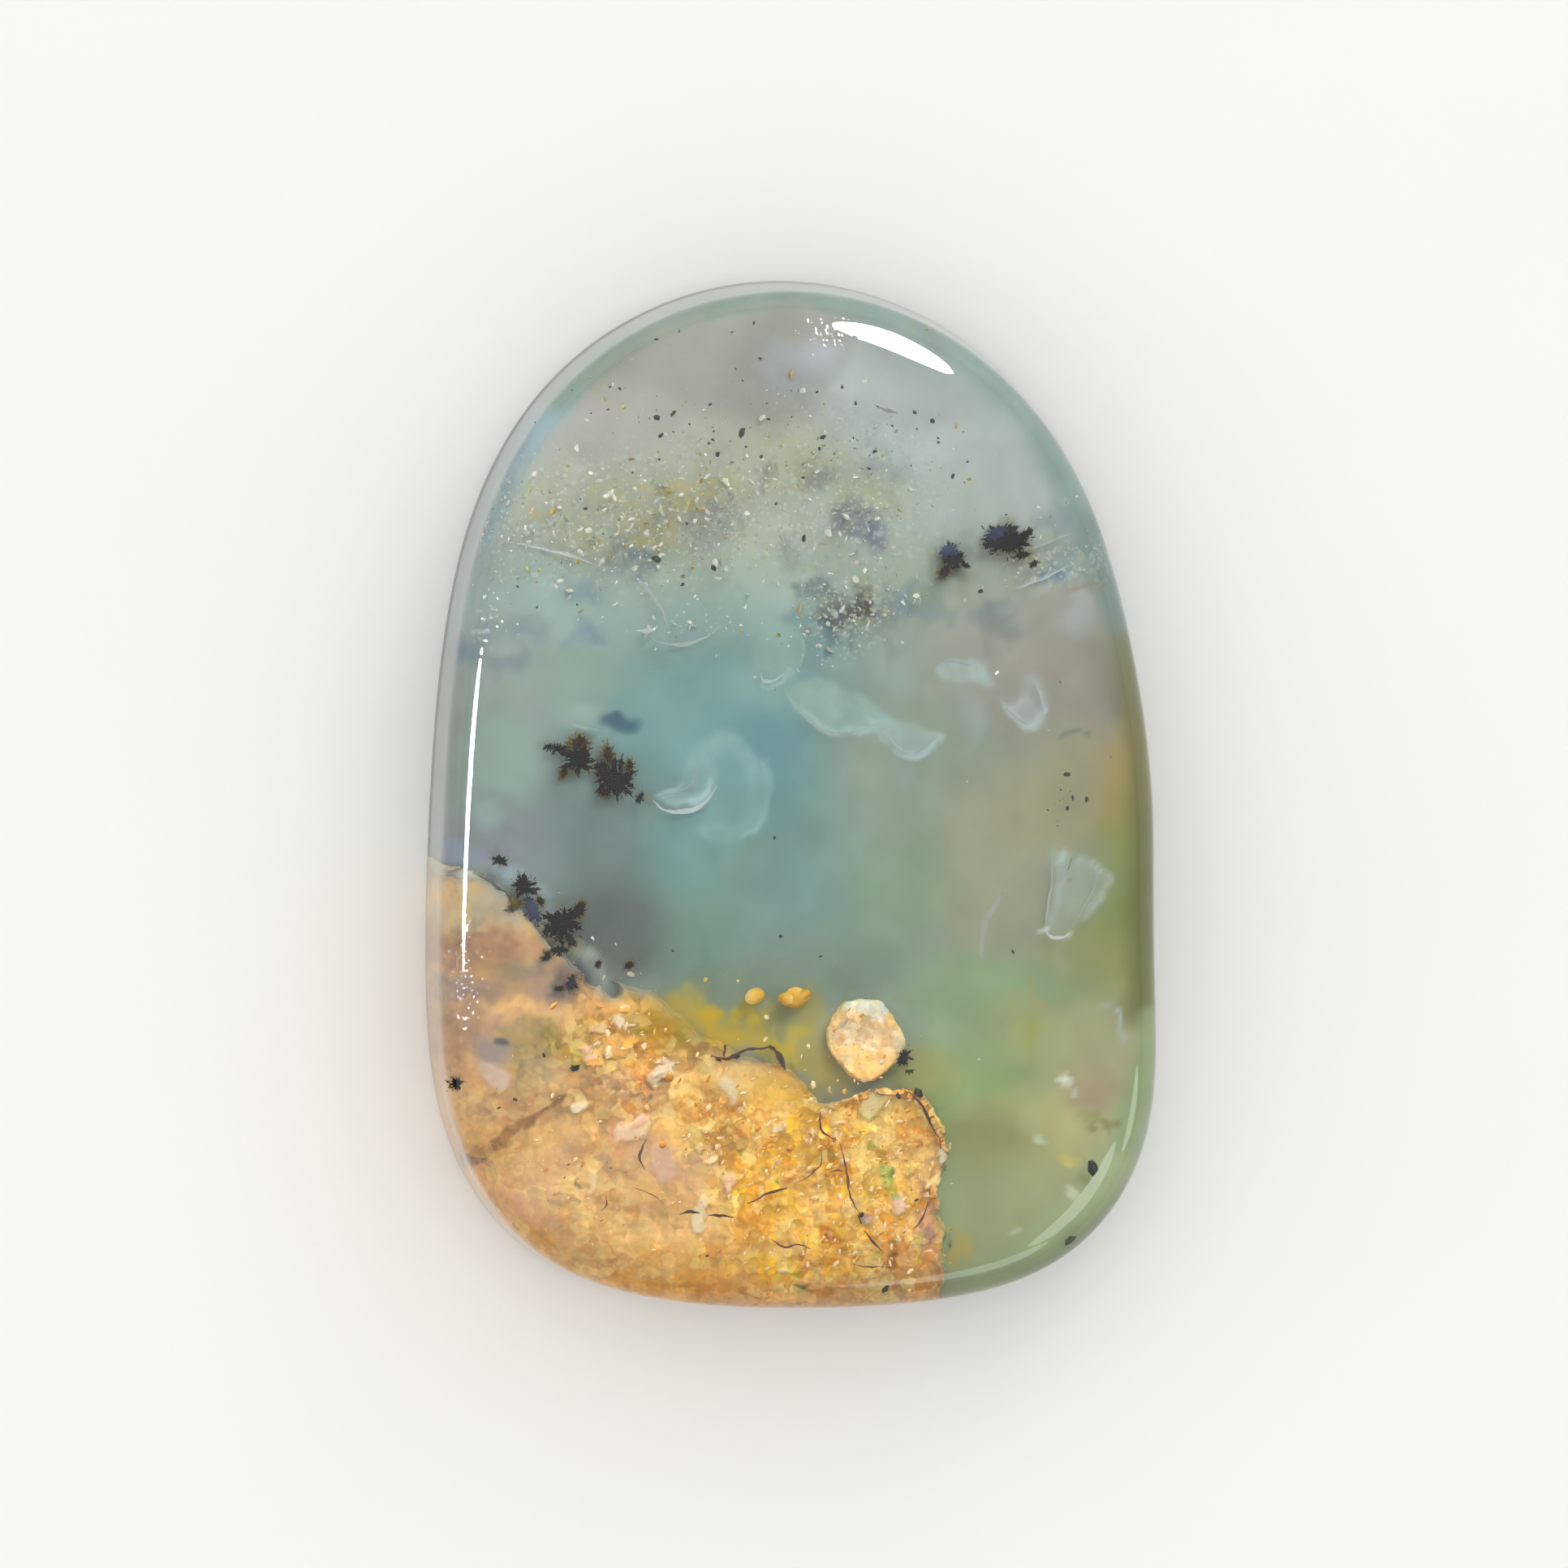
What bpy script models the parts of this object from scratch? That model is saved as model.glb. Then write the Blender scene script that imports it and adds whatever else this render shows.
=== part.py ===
"""A freeform opal cabochon: one stone, cut and polished from one piece of rough.

It lies on its flat back with the head of the stone towards +Y and the polished crown up.
The back has a fine bevel round its edge, the wall leans in as it rises to the girdle,
and an even superelliptic shoulder rolls over into a crown that is almost flat.
All sizes are in metres.
"""

import math

import bmesh
import bpy
from mathutils import Vector

# Driving dimensions
LENGTH = 0.0253
WIDTH = 0.0180
THICKNESS = 0.0050

# The back's edge bevel, and the wall above it
BEVEL_IN = 0.00030
BEVEL_UP = 0.00025
GIRDLE_HEIGHT = 0.0031
WALL_LEAN = 0.07  # how far the wall draws in for each unit that it rises

# The crown: a shoulder that rolls over within SHOULDER_IN of the girdle, and a low dome over all of it
SHOULDER_IN = 0.0030
DOME_RISE = 0.0004
SHOULDER_RISE = THICKNESS - GIRDLE_HEIGHT - DOME_RISE

# A higher power makes a tighter shoulder: the head is rounder than the foot
SHOULDER_POWER_HEAD = 2.4
SHOULDER_POWER_FOOT = 2.8

# The cutter's template: degrees round from +X, and the radius there as a share of half the length
TEMPLATE = (
    (0, 0.699),
    (30, 0.742),
    (60, 0.903),
    (90, 1.002),
    (120, 0.936),
    (150, 0.767),
    (180, 0.704),
    (210, 0.821),
    (225, 0.946),
    (240, 1.025),
    (255, 1.015),
    (270, 0.998),
    (285, 1.019),
    (300, 1.039),
    (315, 0.962),
    (330, 0.815),
)

# How finely the stone is drawn
SEGMENTS = 120
SHOULDER_RINGS = 16
DOME_RINGS = 6

# The look of the stone as one plain colour
OPAL_COLOUR = (0.36, 0.45, 0.42, 1.0)
OPAL_ROUGHNESS = 0.06
OPAL_IOR = 1.45


def clear_scene():
    """Removes every object that the file opened with."""
    for obj in list(bpy.data.objects):
        bpy.data.objects.remove(obj)


def closed_cubic(knots, period):
    """The smooth closed curve through (position, value) knots, as a function of position."""
    places = [place for place, _ in knots]
    values = [value for _, value in knots]
    count = len(knots)
    gaps = [(places[(i + 1) % count] - places[i]) % period for i in range(count)]
    slopes = [(values[(i + 1) % count] - values[i]) / gaps[i] for i in range(count)]

    # Each knot's second derivative settles by repeated averaging with its neighbours'
    bends = [0.0] * count
    for _ in range(80):
        for i in range(count):
            before, after = gaps[i - 1], gaps[i]
            pull = before * bends[i - 1] + after * bends[(i + 1) % count]
            bends[i] = (6 * (slopes[i] - slopes[i - 1]) - pull) / (2 * (before + after))

    def value_at(place):
        place %= period
        i = max(k for k in range(count) if places[k] <= place)
        j = (i + 1) % count
        gap = gaps[i]
        along = place - places[i]
        left = gap - along
        curved = (bends[i] * left**3 + bends[j] * along**3) / (6 * gap)
        start = (values[i] / gap - bends[i] * gap / 6) * left
        end = (values[j] / gap - bends[j] * gap / 6) * along
        return curved + start + end

    return value_at


def template_outline():
    """The stone's widest outline as flat points, centred, with the driving length and width."""
    radius = closed_cubic(TEMPLATE, 360.0)
    points = []
    for i in range(SEGMENTS):
        degrees = 360.0 * i / SEGMENTS
        turn = math.radians(degrees)
        points.append(Vector((math.cos(turn), math.sin(turn))) * radius(degrees))
    low = Vector((min(p.x for p in points), min(p.y for p in points)))
    high = Vector((max(p.x for p in points), max(p.y for p in points)))
    middle = (low + high) / 2
    stretch = Vector((WIDTH / (high.x - low.x), LENGTH / (high.y - low.y)))
    return [(p - middle) * stretch for p in points]


def outward_normals(outline):
    """The flat unit normal at each point of the outline, pointing out of the stone."""
    normals = []
    for i in range(len(outline)):
        along = outline[(i + 1) % len(outline)] - outline[i - 1]
        normals.append(Vector((along.y, -along.x)).normalized())
    return normals


def shoulder_power(outward):
    """How tight the shoulder is on the side of the stone that faces this way."""
    towards_head = 0.5 + 0.5 * outward.y
    return SHOULDER_POWER_FOOT + (SHOULDER_POWER_HEAD - SHOULDER_POWER_FOOT) * towards_head


def on_crown(point, outward, turn, share):
    """A point of the crown over a point of the outline.

    turn runs from 0 at the girdle to a quarter turn where the shoulder ends, along a superellipse.
    From there the share runs from 1 to 0 at the stone's middle.
    """
    power = shoulder_power(outward)
    across = SHOULDER_IN * (1 - math.cos(turn) ** (2 / power))
    height = GIRDLE_HEIGHT + SHOULDER_RISE * math.sin(turn) ** (2 / power)
    inset = across + WALL_LEAN * (height - BEVEL_UP)
    place = (point - outward * inset) * share
    spread = place.length / point.length
    return place.to_3d() + Vector((0, 0, height + DOME_RISE * (1 - spread**2)))


def wall_rings(mesh, outline, normals):
    """The ring round the flat back and the one where the bevel meets the wall."""
    sizes = ((BEVEL_IN, 0.0), (0.0, BEVEL_UP))
    rings = []
    for inset, height in sizes:
        rings.append(
            [
                mesh.verts.new((point - outward * inset).to_3d() + Vector((0, 0, height)))
                for point, outward in zip(outline, normals)
            ]
        )
    return rings


def crown_rings(mesh, outline, normals):
    """The rings from the girdle up over the shoulder and in over the dome, short of the very top."""
    quarter = math.radians(90.0)
    levels = [(quarter * i / SHOULDER_RINGS, 1.0) for i in range(SHOULDER_RINGS + 1)]
    levels += [(quarter, 1 - i / (DOME_RINGS + 1)) for i in range(1, DOME_RINGS + 1)]
    return [
        [
            mesh.verts.new(on_crown(point, outward, turn, share))
            for point, outward in zip(outline, normals)
        ]
        for turn, share in levels
    ]


def join_rings(mesh, lower, upper):
    """Faces the band between two rings of the same count, pointing outwards."""
    for i in range(len(lower)):
        j = (i + 1) % len(lower)
        mesh.faces.new((lower[i], lower[j], upper[j], upper[i]))


def opal_material():
    """Plain polished opal in the stone's overall colour."""
    material = bpy.data.materials.new("polished_opal")
    material.use_nodes = True
    shader = material.node_tree.nodes["Principled BSDF"]
    shader.inputs["Base Color"].default_value = OPAL_COLOUR
    shader.inputs["Roughness"].default_value = OPAL_ROUGHNESS
    shader.inputs["Metallic"].default_value = 0.0
    shader.inputs["IOR"].default_value = OPAL_IOR
    material.diffuse_color = OPAL_COLOUR
    return material


def build_cabochon():
    """The whole stone as one closed solid."""
    outline = template_outline()
    normals = outward_normals(outline)
    mesh = bmesh.new()
    rings = wall_rings(mesh, outline, normals) + crown_rings(mesh, outline, normals)
    for lower, upper in zip(rings, rings[1:]):
        join_rings(mesh, lower, upper)
    mesh.faces.new(reversed(rings[0]))
    top = mesh.verts.new((0.0, 0.0, THICKNESS))
    last = rings[-1]
    for i in range(SEGMENTS):
        mesh.faces.new((last[i], last[(i + 1) % SEGMENTS], top))
    bmesh.ops.recalc_face_normals(mesh, faces=mesh.faces)

    data = bpy.data.meshes.new("opal_cabochon")
    mesh.to_mesh(data)
    mesh.free()
    data.shade_smooth()
    data.set_sharp_from_angle(angle=math.radians(30))
    data.materials.append(opal_material())
    stone = bpy.data.objects.new("opal_cabochon", data)
    bpy.context.scene.collection.objects.link(stone)
    return stone


def main():
    """Builds the stone in an empty scene."""
    clear_scene()
    build_cabochon()


main()
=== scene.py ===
"""The looks of a freeform blue-green opal cabochon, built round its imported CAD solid.

The stone is one piece. What shows inside it is drawn at its real depth: a clear polished
skin, the clouded opal within, the host rock that the opal grew on, a pebble, moss-like
growths and fine grains. Places on the stone are in millimetres from its middle, with +X to
the right and +Y towards its rounder head, and depths are below the polished crown. Tints
are written 0xRRGGBB, as the eye sees them on a screen, through the polish.
"""

import logging
import math
from dataclasses import dataclass, field, replace
from enum import Enum

import bpy
import numpy as np
from mathutils import Euler, Matrix, Vector
from mathutils.bvhtree import BVHTree


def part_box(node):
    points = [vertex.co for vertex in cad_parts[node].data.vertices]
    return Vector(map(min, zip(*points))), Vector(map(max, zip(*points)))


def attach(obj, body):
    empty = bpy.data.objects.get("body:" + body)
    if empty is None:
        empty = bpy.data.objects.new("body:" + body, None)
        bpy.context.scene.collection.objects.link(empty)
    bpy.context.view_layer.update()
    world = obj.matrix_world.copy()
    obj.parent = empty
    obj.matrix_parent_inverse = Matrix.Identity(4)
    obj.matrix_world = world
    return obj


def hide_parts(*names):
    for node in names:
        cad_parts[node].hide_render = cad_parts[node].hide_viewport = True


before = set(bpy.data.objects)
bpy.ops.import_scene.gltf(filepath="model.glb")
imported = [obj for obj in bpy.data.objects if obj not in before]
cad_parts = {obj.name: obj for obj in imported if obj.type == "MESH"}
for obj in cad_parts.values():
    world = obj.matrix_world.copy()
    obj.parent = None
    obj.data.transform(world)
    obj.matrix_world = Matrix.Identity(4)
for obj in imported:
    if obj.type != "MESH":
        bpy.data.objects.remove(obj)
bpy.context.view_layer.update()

LOG = logging.getLogger("opal_cabochon")
MM = 0.001
BODY = "root"
CAD_NODE = "opal_cabochon"

Place = tuple[float, float]
Tint = int
Colour = tuple[float, float, float, float]

# How a colour in the opal shows through the polish: what the polish mirrors of the room,
# how brightly the room lights the colour, and what share of its light is sent back in again
MIRRORED = 0.037
LIT = np.array([1.16, 1.37, 1.285])
SENT_BACK = 0.05

# Pits deeper than this percentile of a piece's points count as its deepest
DEEP_PERCENTILE = 98


def linear(tones: np.ndarray) -> np.ndarray:
    """Screen tones from 0 to 1 as linear light."""
    return np.where(tones <= 0.04045, tones / 12.92, ((tones + 0.055) / 1.055) ** 2.4)


def rgb(tint: Tint) -> np.ndarray:
    """A tint's red, green and blue, each from 0 to 1."""
    return np.array([tint >> 16, tint >> 8 & 255, tint & 255]) / 255


def paint(tint: Tint) -> Colour:
    """A tint as the shader socket of a bare surface takes it."""
    red, green, blue = linear(rgb(tint))
    return (float(red), float(green), float(blue), 1.0)


def under_polish(tones: np.ndarray) -> np.ndarray:
    """The base colours that show as these screen tones once they lie under the polish.

    Args:
        tones: Rows of red, green and blue, each from 0 to 1.

    Returns:
        Rows of linear base colour.
    """
    seen = np.clip(linear(tones) - MIRRORED, 0.0, None)
    return np.clip(seen / (LIT + SENT_BACK * seen), 0.002, 0.92)


def inner(tint: Tint) -> Colour:
    """A tint as the shader socket of something inside the opal takes it."""
    red, green, blue = under_polish(rgb(tint))
    return (float(red), float(green), float(blue), 1.0)


def eased(values: np.ndarray, low: float, high: float) -> np.ndarray:
    """Eases values from 0 at low to 1 at high."""
    share = np.clip((values - low) / (high - low), 0.0, 1.0)
    return share * share * (3.0 - 2.0 * share)


class Bench:
    """Short ways to handle the piece that is being modelled."""

    @staticmethod
    def clear() -> None:
        """Deselects everything and leaves nothing active."""
        bpy.ops.object.select_all(action="DESELECT")
        bpy.context.view_layer.objects.active = None

    @staticmethod
    def take(piece: bpy.types.Object) -> None:
        """Selects one piece alone and makes it active."""
        Bench.clear()
        piece.select_set(True)
        bpy.context.view_layer.objects.active = piece

    @staticmethod
    def apply(piece: bpy.types.Object, modifier: bpy.types.Modifier) -> None:
        """Applies a modifier for good."""
        Bench.take(piece)
        bpy.ops.object.modifier_apply(modifier=modifier.name)

    @staticmethod
    def points(piece: bpy.types.Object) -> np.ndarray:
        """The piece's vertices as an array of rows, in metres."""
        flat = np.empty(len(piece.data.vertices) * 3, np.float32)
        piece.data.vertices.foreach_get("co", flat)
        return flat.reshape(-1, 3).astype(float)

    @staticmethod
    def set_points(piece: bpy.types.Object, points: np.ndarray) -> None:
        """Moves every vertex of the piece to its row of points."""
        piece.data.vertices.foreach_set("co", points.astype(np.float32).ravel())
        piece.data.update()

    @staticmethod
    def keep(piece: bpy.types.Object, name: str, values: np.ndarray) -> None:
        """Keeps a value for each vertex under a name that materials can read."""
        attribute = piece.data.attributes.new(name, "FLOAT", "POINT")
        attribute.data.foreach_set("value", values.astype(np.float32))

    @staticmethod
    def slab(outline: np.ndarray, height: float) -> bpy.types.Object:
        """Adds a circle, fits its points to an outline and extrudes it into a closed block.

        Args:
            outline: Rows of x and y, in the order of the circle's points.
            height: How far it is extruded upwards from z = 0.

        Returns:
            The block.
        """
        Bench.clear()
        bpy.ops.mesh.primitive_circle_add(vertices=len(outline), radius=1.0, fill_type="NGON")
        block = bpy.context.object
        Bench.set_points(block, np.column_stack([outline, np.zeros(len(outline))]))
        bpy.ops.object.mode_set(mode="EDIT")
        bpy.ops.mesh.select_all(action="SELECT")
        bpy.ops.mesh.extrude_region_move(TRANSFORM_OT_translate={"value": (0, 0, height)})
        bpy.ops.mesh.select_all(action="SELECT")
        bpy.ops.mesh.normals_make_consistent(inside=False)
        bpy.ops.object.mode_set(mode="OBJECT")
        return block

    @staticmethod
    def even_out(piece: bpy.types.Object, spacing: float) -> None:
        """Draws the piece again with evenly spaced points."""
        remesh = piece.modifiers.new("remesh", "REMESH")
        remesh.mode = "VOXEL"
        remesh.voxel_size = spacing
        Bench.apply(piece, remesh)

    @staticmethod
    def shade(piece: bpy.types.Object, degrees: float) -> None:
        """Shades a piece smooth, save where its faces meet at more than this angle."""
        Bench.take(piece)
        bpy.ops.object.shade_smooth_by_angle(angle=math.radians(degrees))

    @staticmethod
    def deliver(piece: bpy.types.Object, name: str, material: bpy.types.Material) -> bpy.types.Object:
        """Names a finished piece, dresses it, lets it ride on the stone's body and reports it.

        Args:
            piece: The finished mesh object.
            name: The name that it keeps.
            material: Its finish.

        Returns:
            The same piece.
        """
        Bench.take(piece)
        bpy.ops.object.transform_apply(location=True, rotation=True, scale=True)
        piece.name = name
        piece.data.name = name
        piece.data.materials.clear()
        piece.data.materials.append(material)
        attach(piece, BODY)
        count = sum(len(face.vertices) - 2 for face in piece.data.polygons)
        LOG.info("%s: %d triangles", name, count)
        return piece


@dataclass(frozen=True)
class Pits:
    """Pits by a granular texture, with its grains' size and the pits' depth in millimetres."""

    name: str
    scale: float
    depth: float
    creased: bool = True

    def press(self, piece: bpy.types.Object) -> None:
        """Presses the pits into a piece. Creased ones lie between lumps."""
        texture = bpy.data.textures.new(self.name, "VORONOI")
        texture.noise_scale = self.scale * MM
        if self.creased:
            texture.weight_1 = -1.0
            texture.weight_2 = 1.0
            texture.noise_intensity = 1.6
        modifier = piece.modifiers.new(self.name, "DISPLACE")
        modifier.texture = texture
        modifier.texture_coords = "LOCAL"
        modifier.mid_level = 1.0
        modifier.strength = self.depth * MM
        Bench.apply(piece, modifier)


def roughen(piece: bpy.types.Object, smooth: np.ndarray, pits: tuple[Pits, ...]) -> np.ndarray:
    """Presses pits into a piece, and keeps how deep each point sank, as a share of the deepest.

    Args:
        piece: The piece.
        smooth: Its points in metres before.
        pits: The pits, in turn.

    Returns:
        Its points in metres after.
    """
    for pit in pits:
        pit.press(piece)
    rough = Bench.points(piece)
    sunk = np.linalg.norm(rough - smooth, axis=1)
    Bench.keep(piece, "pit", sunk / np.percentile(sunk, DEEP_PERCENTILE))
    return rough


@dataclass(frozen=True)
class StoneForm:
    """The stone's form by the rule of its CAD solid, or a form set in from it.

    The sizes of the bevel, wall and shoulder repeat the solid's own, in metres. The form may lie
    at a depth below the crown, and by another amount inside the wall and the back.
    """

    width: float
    length: float
    thickness: float
    depth: float = 0.0
    side: float = 0.0
    bevel_in: float = 0.30 * MM
    bevel_up: float = 0.25 * MM
    girdle_height: float = 3.1 * MM
    wall_lean: float = 0.07
    shoulder_in: float = 3.0 * MM
    dome_rise: float = 0.4 * MM
    power_head: float = 2.4
    power_foot: float = 2.8
    # Degrees round from +X, and the outline's radius there as a share of half the length
    template: tuple[Place, ...] = (
        (0, 0.699), (30, 0.742), (60, 0.903), (90, 1.002), (120, 0.936), (150, 0.767), (180, 0.704),
        (210, 0.821), (225, 0.946), (240, 1.025), (255, 1.015), (270, 0.998), (285, 1.019), (300, 1.039),
        (315, 0.962), (330, 0.815),
    )

    @classmethod
    def from_cad(cls) -> "StoneForm":
        """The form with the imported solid's own length, width and thickness."""
        low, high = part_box(CAD_NODE)
        return cls(width=high.x - low.x, length=high.y - low.y, thickness=high.z - low.z)

    def set_in(self, depth: float, side: float) -> "StoneForm":
        """The same form inside this one, by metres below its crown and inside its wall and back."""
        return replace(self, depth=self.depth + depth, side=self.side + side)

    def radii(self, degrees: np.ndarray) -> np.ndarray:
        """The template's radius at each of these angles, by a smooth closed cubic."""
        places = np.array([place for place, _ in self.template], float)
        values = np.array([value for _, value in self.template], float)
        count = len(places)
        gaps = (np.roll(places, -1) - places) % 360.0
        slopes = (np.roll(values, -1) - values) / gaps
        rule = np.zeros((count, count))
        for i in range(count):
            rule[i, i - 1] = gaps[i - 1]
            rule[i, i] = 2 * (gaps[i - 1] + gaps[i])
            rule[i, (i + 1) % count] = gaps[i]
        bends = np.linalg.solve(rule, 6 * (slopes - np.roll(slopes, 1)))
        start = np.searchsorted(places, degrees % 360.0, side="right") - 1
        end = (start + 1) % count
        gap = gaps[start]
        along = degrees % 360.0 - places[start]
        left = gap - along
        curved = (bends[start] * left**3 + bends[end] * along**3) / (6 * gap)
        from_start = (values[start] / gap - bends[start] * gap / 6) * left
        from_end = (values[end] / gap - bends[end] * gap / 6) * along
        return curved + from_start + from_end

    def outline(self, segments: int) -> tuple[np.ndarray, np.ndarray]:
        """The widest outline of the polished stone.

        Args:
            segments: How many points go round it.

        Returns:
            The points and their outward unit normals, as two arrays of flat rows.
        """
        degrees = np.arange(segments) * 360.0 / segments
        turn = np.radians(degrees)
        points = np.stack([np.cos(turn), np.sin(turn)], 1) * self.radii(degrees)[:, None]
        low, high = points.min(0), points.max(0)
        points = (points - (low + high) / 2) * np.array([self.width, self.length]) / (high - low)
        along = np.roll(points, -1, 0) - np.roll(points, 1, 0)
        outward = np.stack([along[:, 1], -along[:, 0]], 1)
        return points, outward / np.linalg.norm(outward, axis=1)[:, None]

    def rows(self, segments: int, fineness: int, dome_rows: int) -> np.ndarray:
        """The whole surface as rows of points, from the middle of the back to the top.

        Args:
            segments: How many points each row has.
            fineness: How many rows the shoulder has. The wall and the back go by it.
            dome_rows: How many rows lie between the shoulder and the top.

        Returns:
            An array of row, point and coordinate.
        """
        points, outward = self.outline(segments)
        lengths = np.linalg.norm(points, axis=1)

        def row(inset: float, height: float, share: float = 1.0) -> np.ndarray:
            """One level row at an inset from the outline, drawn in to a share of its size."""
            place = (points - outward * inset) * share
            return np.column_stack([place, np.full(segments, height)])

        back_edge = self.side + self.bevel_in
        back_rows = fineness // 3
        made = [row(back_edge, self.side, i / back_rows) for i in range(back_rows + 1)]
        foot = self.side + self.bevel_up
        wall_rows = fineness // 6
        for i in range(wall_rows):
            height = foot + (self.girdle_height - foot) * i / wall_rows
            made.append(row(self.side + self.wall_lean * (height - self.bevel_up), height))

        power = self.power_foot + (self.power_head - self.power_foot) * (0.5 + 0.5 * outward[:, 1])
        shoulder_rise = self.thickness - self.girdle_height - self.dome_rise
        quarter = math.pi / 2
        levels = [(quarter * i / fineness, 1.0) for i in range(fineness + 1)]
        levels += [(quarter, 1 - i / dome_rows) for i in range(1, dome_rows + 1)]
        for turn, share in levels:
            cosine = max(math.cos(turn), 0.0)
            across = (self.shoulder_in - self.side) * (1 - cosine ** (2 / power))
            rise = (shoulder_rise - self.depth) * math.sin(turn) ** (2 / power)
            height = self.girdle_height + rise
            inset = self.side + across + self.wall_lean * (height - self.bevel_up)
            place = (points - outward * inset[:, None]) * share
            spread = np.linalg.norm(place, axis=1) / lengths
            made.append(np.column_stack([place, height + self.dome_rise * (1 - spread**2)]))
        return np.array(made)

    def cast(self, segments: int, fineness: int, dome_rows: int) -> bpy.types.Object:
        """Adds a sphere and draws its rings and poles out onto this form.

        Args:
            segments: How many faces go round.
            fineness: How many rows of faces the shoulder has.
            dome_rows: How many rows lie between the shoulder and the top.

        Returns:
            The closed mesh object.
        """
        rows = self.rows(segments, fineness, dome_rows)
        last = len(rows) - 1
        Bench.clear()
        bpy.ops.mesh.primitive_uv_sphere_add(segments=segments, ring_count=last, radius=1.0)
        piece = bpy.context.object
        ball = Bench.points(piece)
        level = np.rint((np.arcsin(np.clip(ball[:, 2], -1, 1)) / math.pi + 0.5) * last).astype(int)
        column = np.rint(np.arctan2(ball[:, 1], ball[:, 0]) * segments / math.tau).astype(int)
        Bench.set_points(piece, rows[level, column % segments])
        return piece


@dataclass(frozen=True)
class View:
    """Where the camera stands and looks, and how places in its picture lie on the stone.

    The places are in millimetres in the plane that the camera looks at, which is low in the
    stone. What lies on the crown is seen a little aside of where it stands.
    """

    eye_distance: float = 0.30
    frame_width: float = 38.65 * MM
    aim: Place = (-0.17, 0.27)
    lean_left: float = 4.0
    lean_up: float = 3.0
    focus_height: float = 0.6 * MM

    def target(self) -> Vector:
        """Where the camera looks."""
        return Vector((self.aim[0] * MM, self.aim[1] * MM, self.focus_height))

    def eye(self) -> Vector:
        """Where the camera stands."""
        tilt = Vector((-math.tan(math.radians(self.lean_left)), math.tan(math.radians(self.lean_up)), 1.0))
        return self.target() + tilt.normalized() * self.eye_distance

    def seen(self, points: np.ndarray) -> np.ndarray:
        """The places in the picture where these points, in metres, are seen."""
        eye = np.array(self.eye())
        way = points - eye
        share = (self.focus_height - eye[2]) / way[:, 2]
        return (eye + way * share[:, None])[:, :2] / MM

    def lifted(self, places: np.ndarray, height: float) -> np.ndarray:
        """Where places in the picture lie at this height, as rows of x and y in metres."""
        eye = np.array(self.eye())[:2]
        share = (height - self.eye().z) / (self.focus_height - self.eye().z)
        return eye + (places * MM - eye) * share


class Growth:
    """Smooth random swings over the stone, the same in every run."""

    def __init__(self, seed: int) -> None:
        """Draws the values that the swings run between."""
        self.lattice = np.random.default_rng(seed).uniform(-1, 1, (64, 64))

    def swing(self, places: np.ndarray, scale: float, octaves: int) -> np.ndarray:
        """Swings between about -1 and 1 at each place.

        Args:
            places: Rows of x and y in millimetres.
            scale: How many swings there are to the millimetre.
            octaves: How many finer layers are laid over one another.

        Returns:
            One value for each place.
        """
        total = np.zeros(len(places))
        for octave in range(octaves):
            spots = places * scale * 2**octave + 17.3 * (octave + 1)
            cell = np.floor(spots).astype(int)
            share = spots - cell
            share = share * share * (3 - 2 * share)
            x, y = cell[:, 0] % 63, cell[:, 1] % 63
            low = self.lattice[x, y] * (1 - share[:, 0]) + self.lattice[x + 1, y] * share[:, 0]
            high = self.lattice[x, y + 1] * (1 - share[:, 0]) + self.lattice[x + 1, y + 1] * share[:, 0]
            total += (low * (1 - share[:, 1]) + high * share[:, 1]) * 0.55**octave
        return total


class Growing(Enum):
    """How a mark's edge wanders: its reach in millimetres, scale, octaves and patchiness."""

    CALM = (0.45, 0.35, 2, 0.0)
    SMOOTH = (0.10, 0.8, 2, 0.0)
    FEATHERED = (0.10, 1.6, 4, 0.45)
    GROWN = (0.18, 1.1, 3, 0.25)
    RAGGED = (0.26, 2.2, 4, 0.35)
    CRACKED = (0.10, 2.6, 3, 0.0)


def rounded(outline: np.ndarray, closed: bool, times: int = 2) -> np.ndarray:
    """Cuts the corners of an outline or a route, so that it runs smoothly.

    Args:
        outline: Rows of x and y.
        closed: Whether the last point joins the first.
        times: How often the corners are cut.

    Returns:
        The smoother rows.
    """
    for _ in range(times):
        after = np.roll(outline, -1, 0)
        near, far = 0.75 * outline + 0.25 * after, 0.25 * outline + 0.75 * after
        cut = np.stack([near, far], 1).reshape(-1, 2)
        outline = cut if closed else np.concatenate([outline[:1], cut[1:-3], outline[-1:]])
    return outline


def distance_to(route: np.ndarray, places: np.ndarray, closed: bool) -> tuple[np.ndarray, np.ndarray]:
    """How far each place is from a route, and how far along the route its nearest point lies.

    Args:
        route: Rows of x and y.
        places: Rows of x and y.
        closed: Whether the last point joins the first.

    Returns:
        The distances, and the shares of the way along from 0 to 1.
    """
    ends = np.roll(route, -1, 0)
    starts = route if closed else route[:-1]
    ends = ends if closed else ends[:-1]
    best = np.full(len(places), np.inf)
    along = np.zeros(len(places))
    for index, (start, end) in enumerate(zip(starts, ends)):
        span = end - start
        share = np.clip((places - start) @ span / max(float(span @ span), 1e-12), 0.0, 1.0)
        off = np.linalg.norm(places - start - share[:, None] * span, axis=1)
        nearer = off < best
        best[nearer] = off[nearer]
        along[nearer] = (index + share[nearer]) / len(starts)
    return best, along


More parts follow.
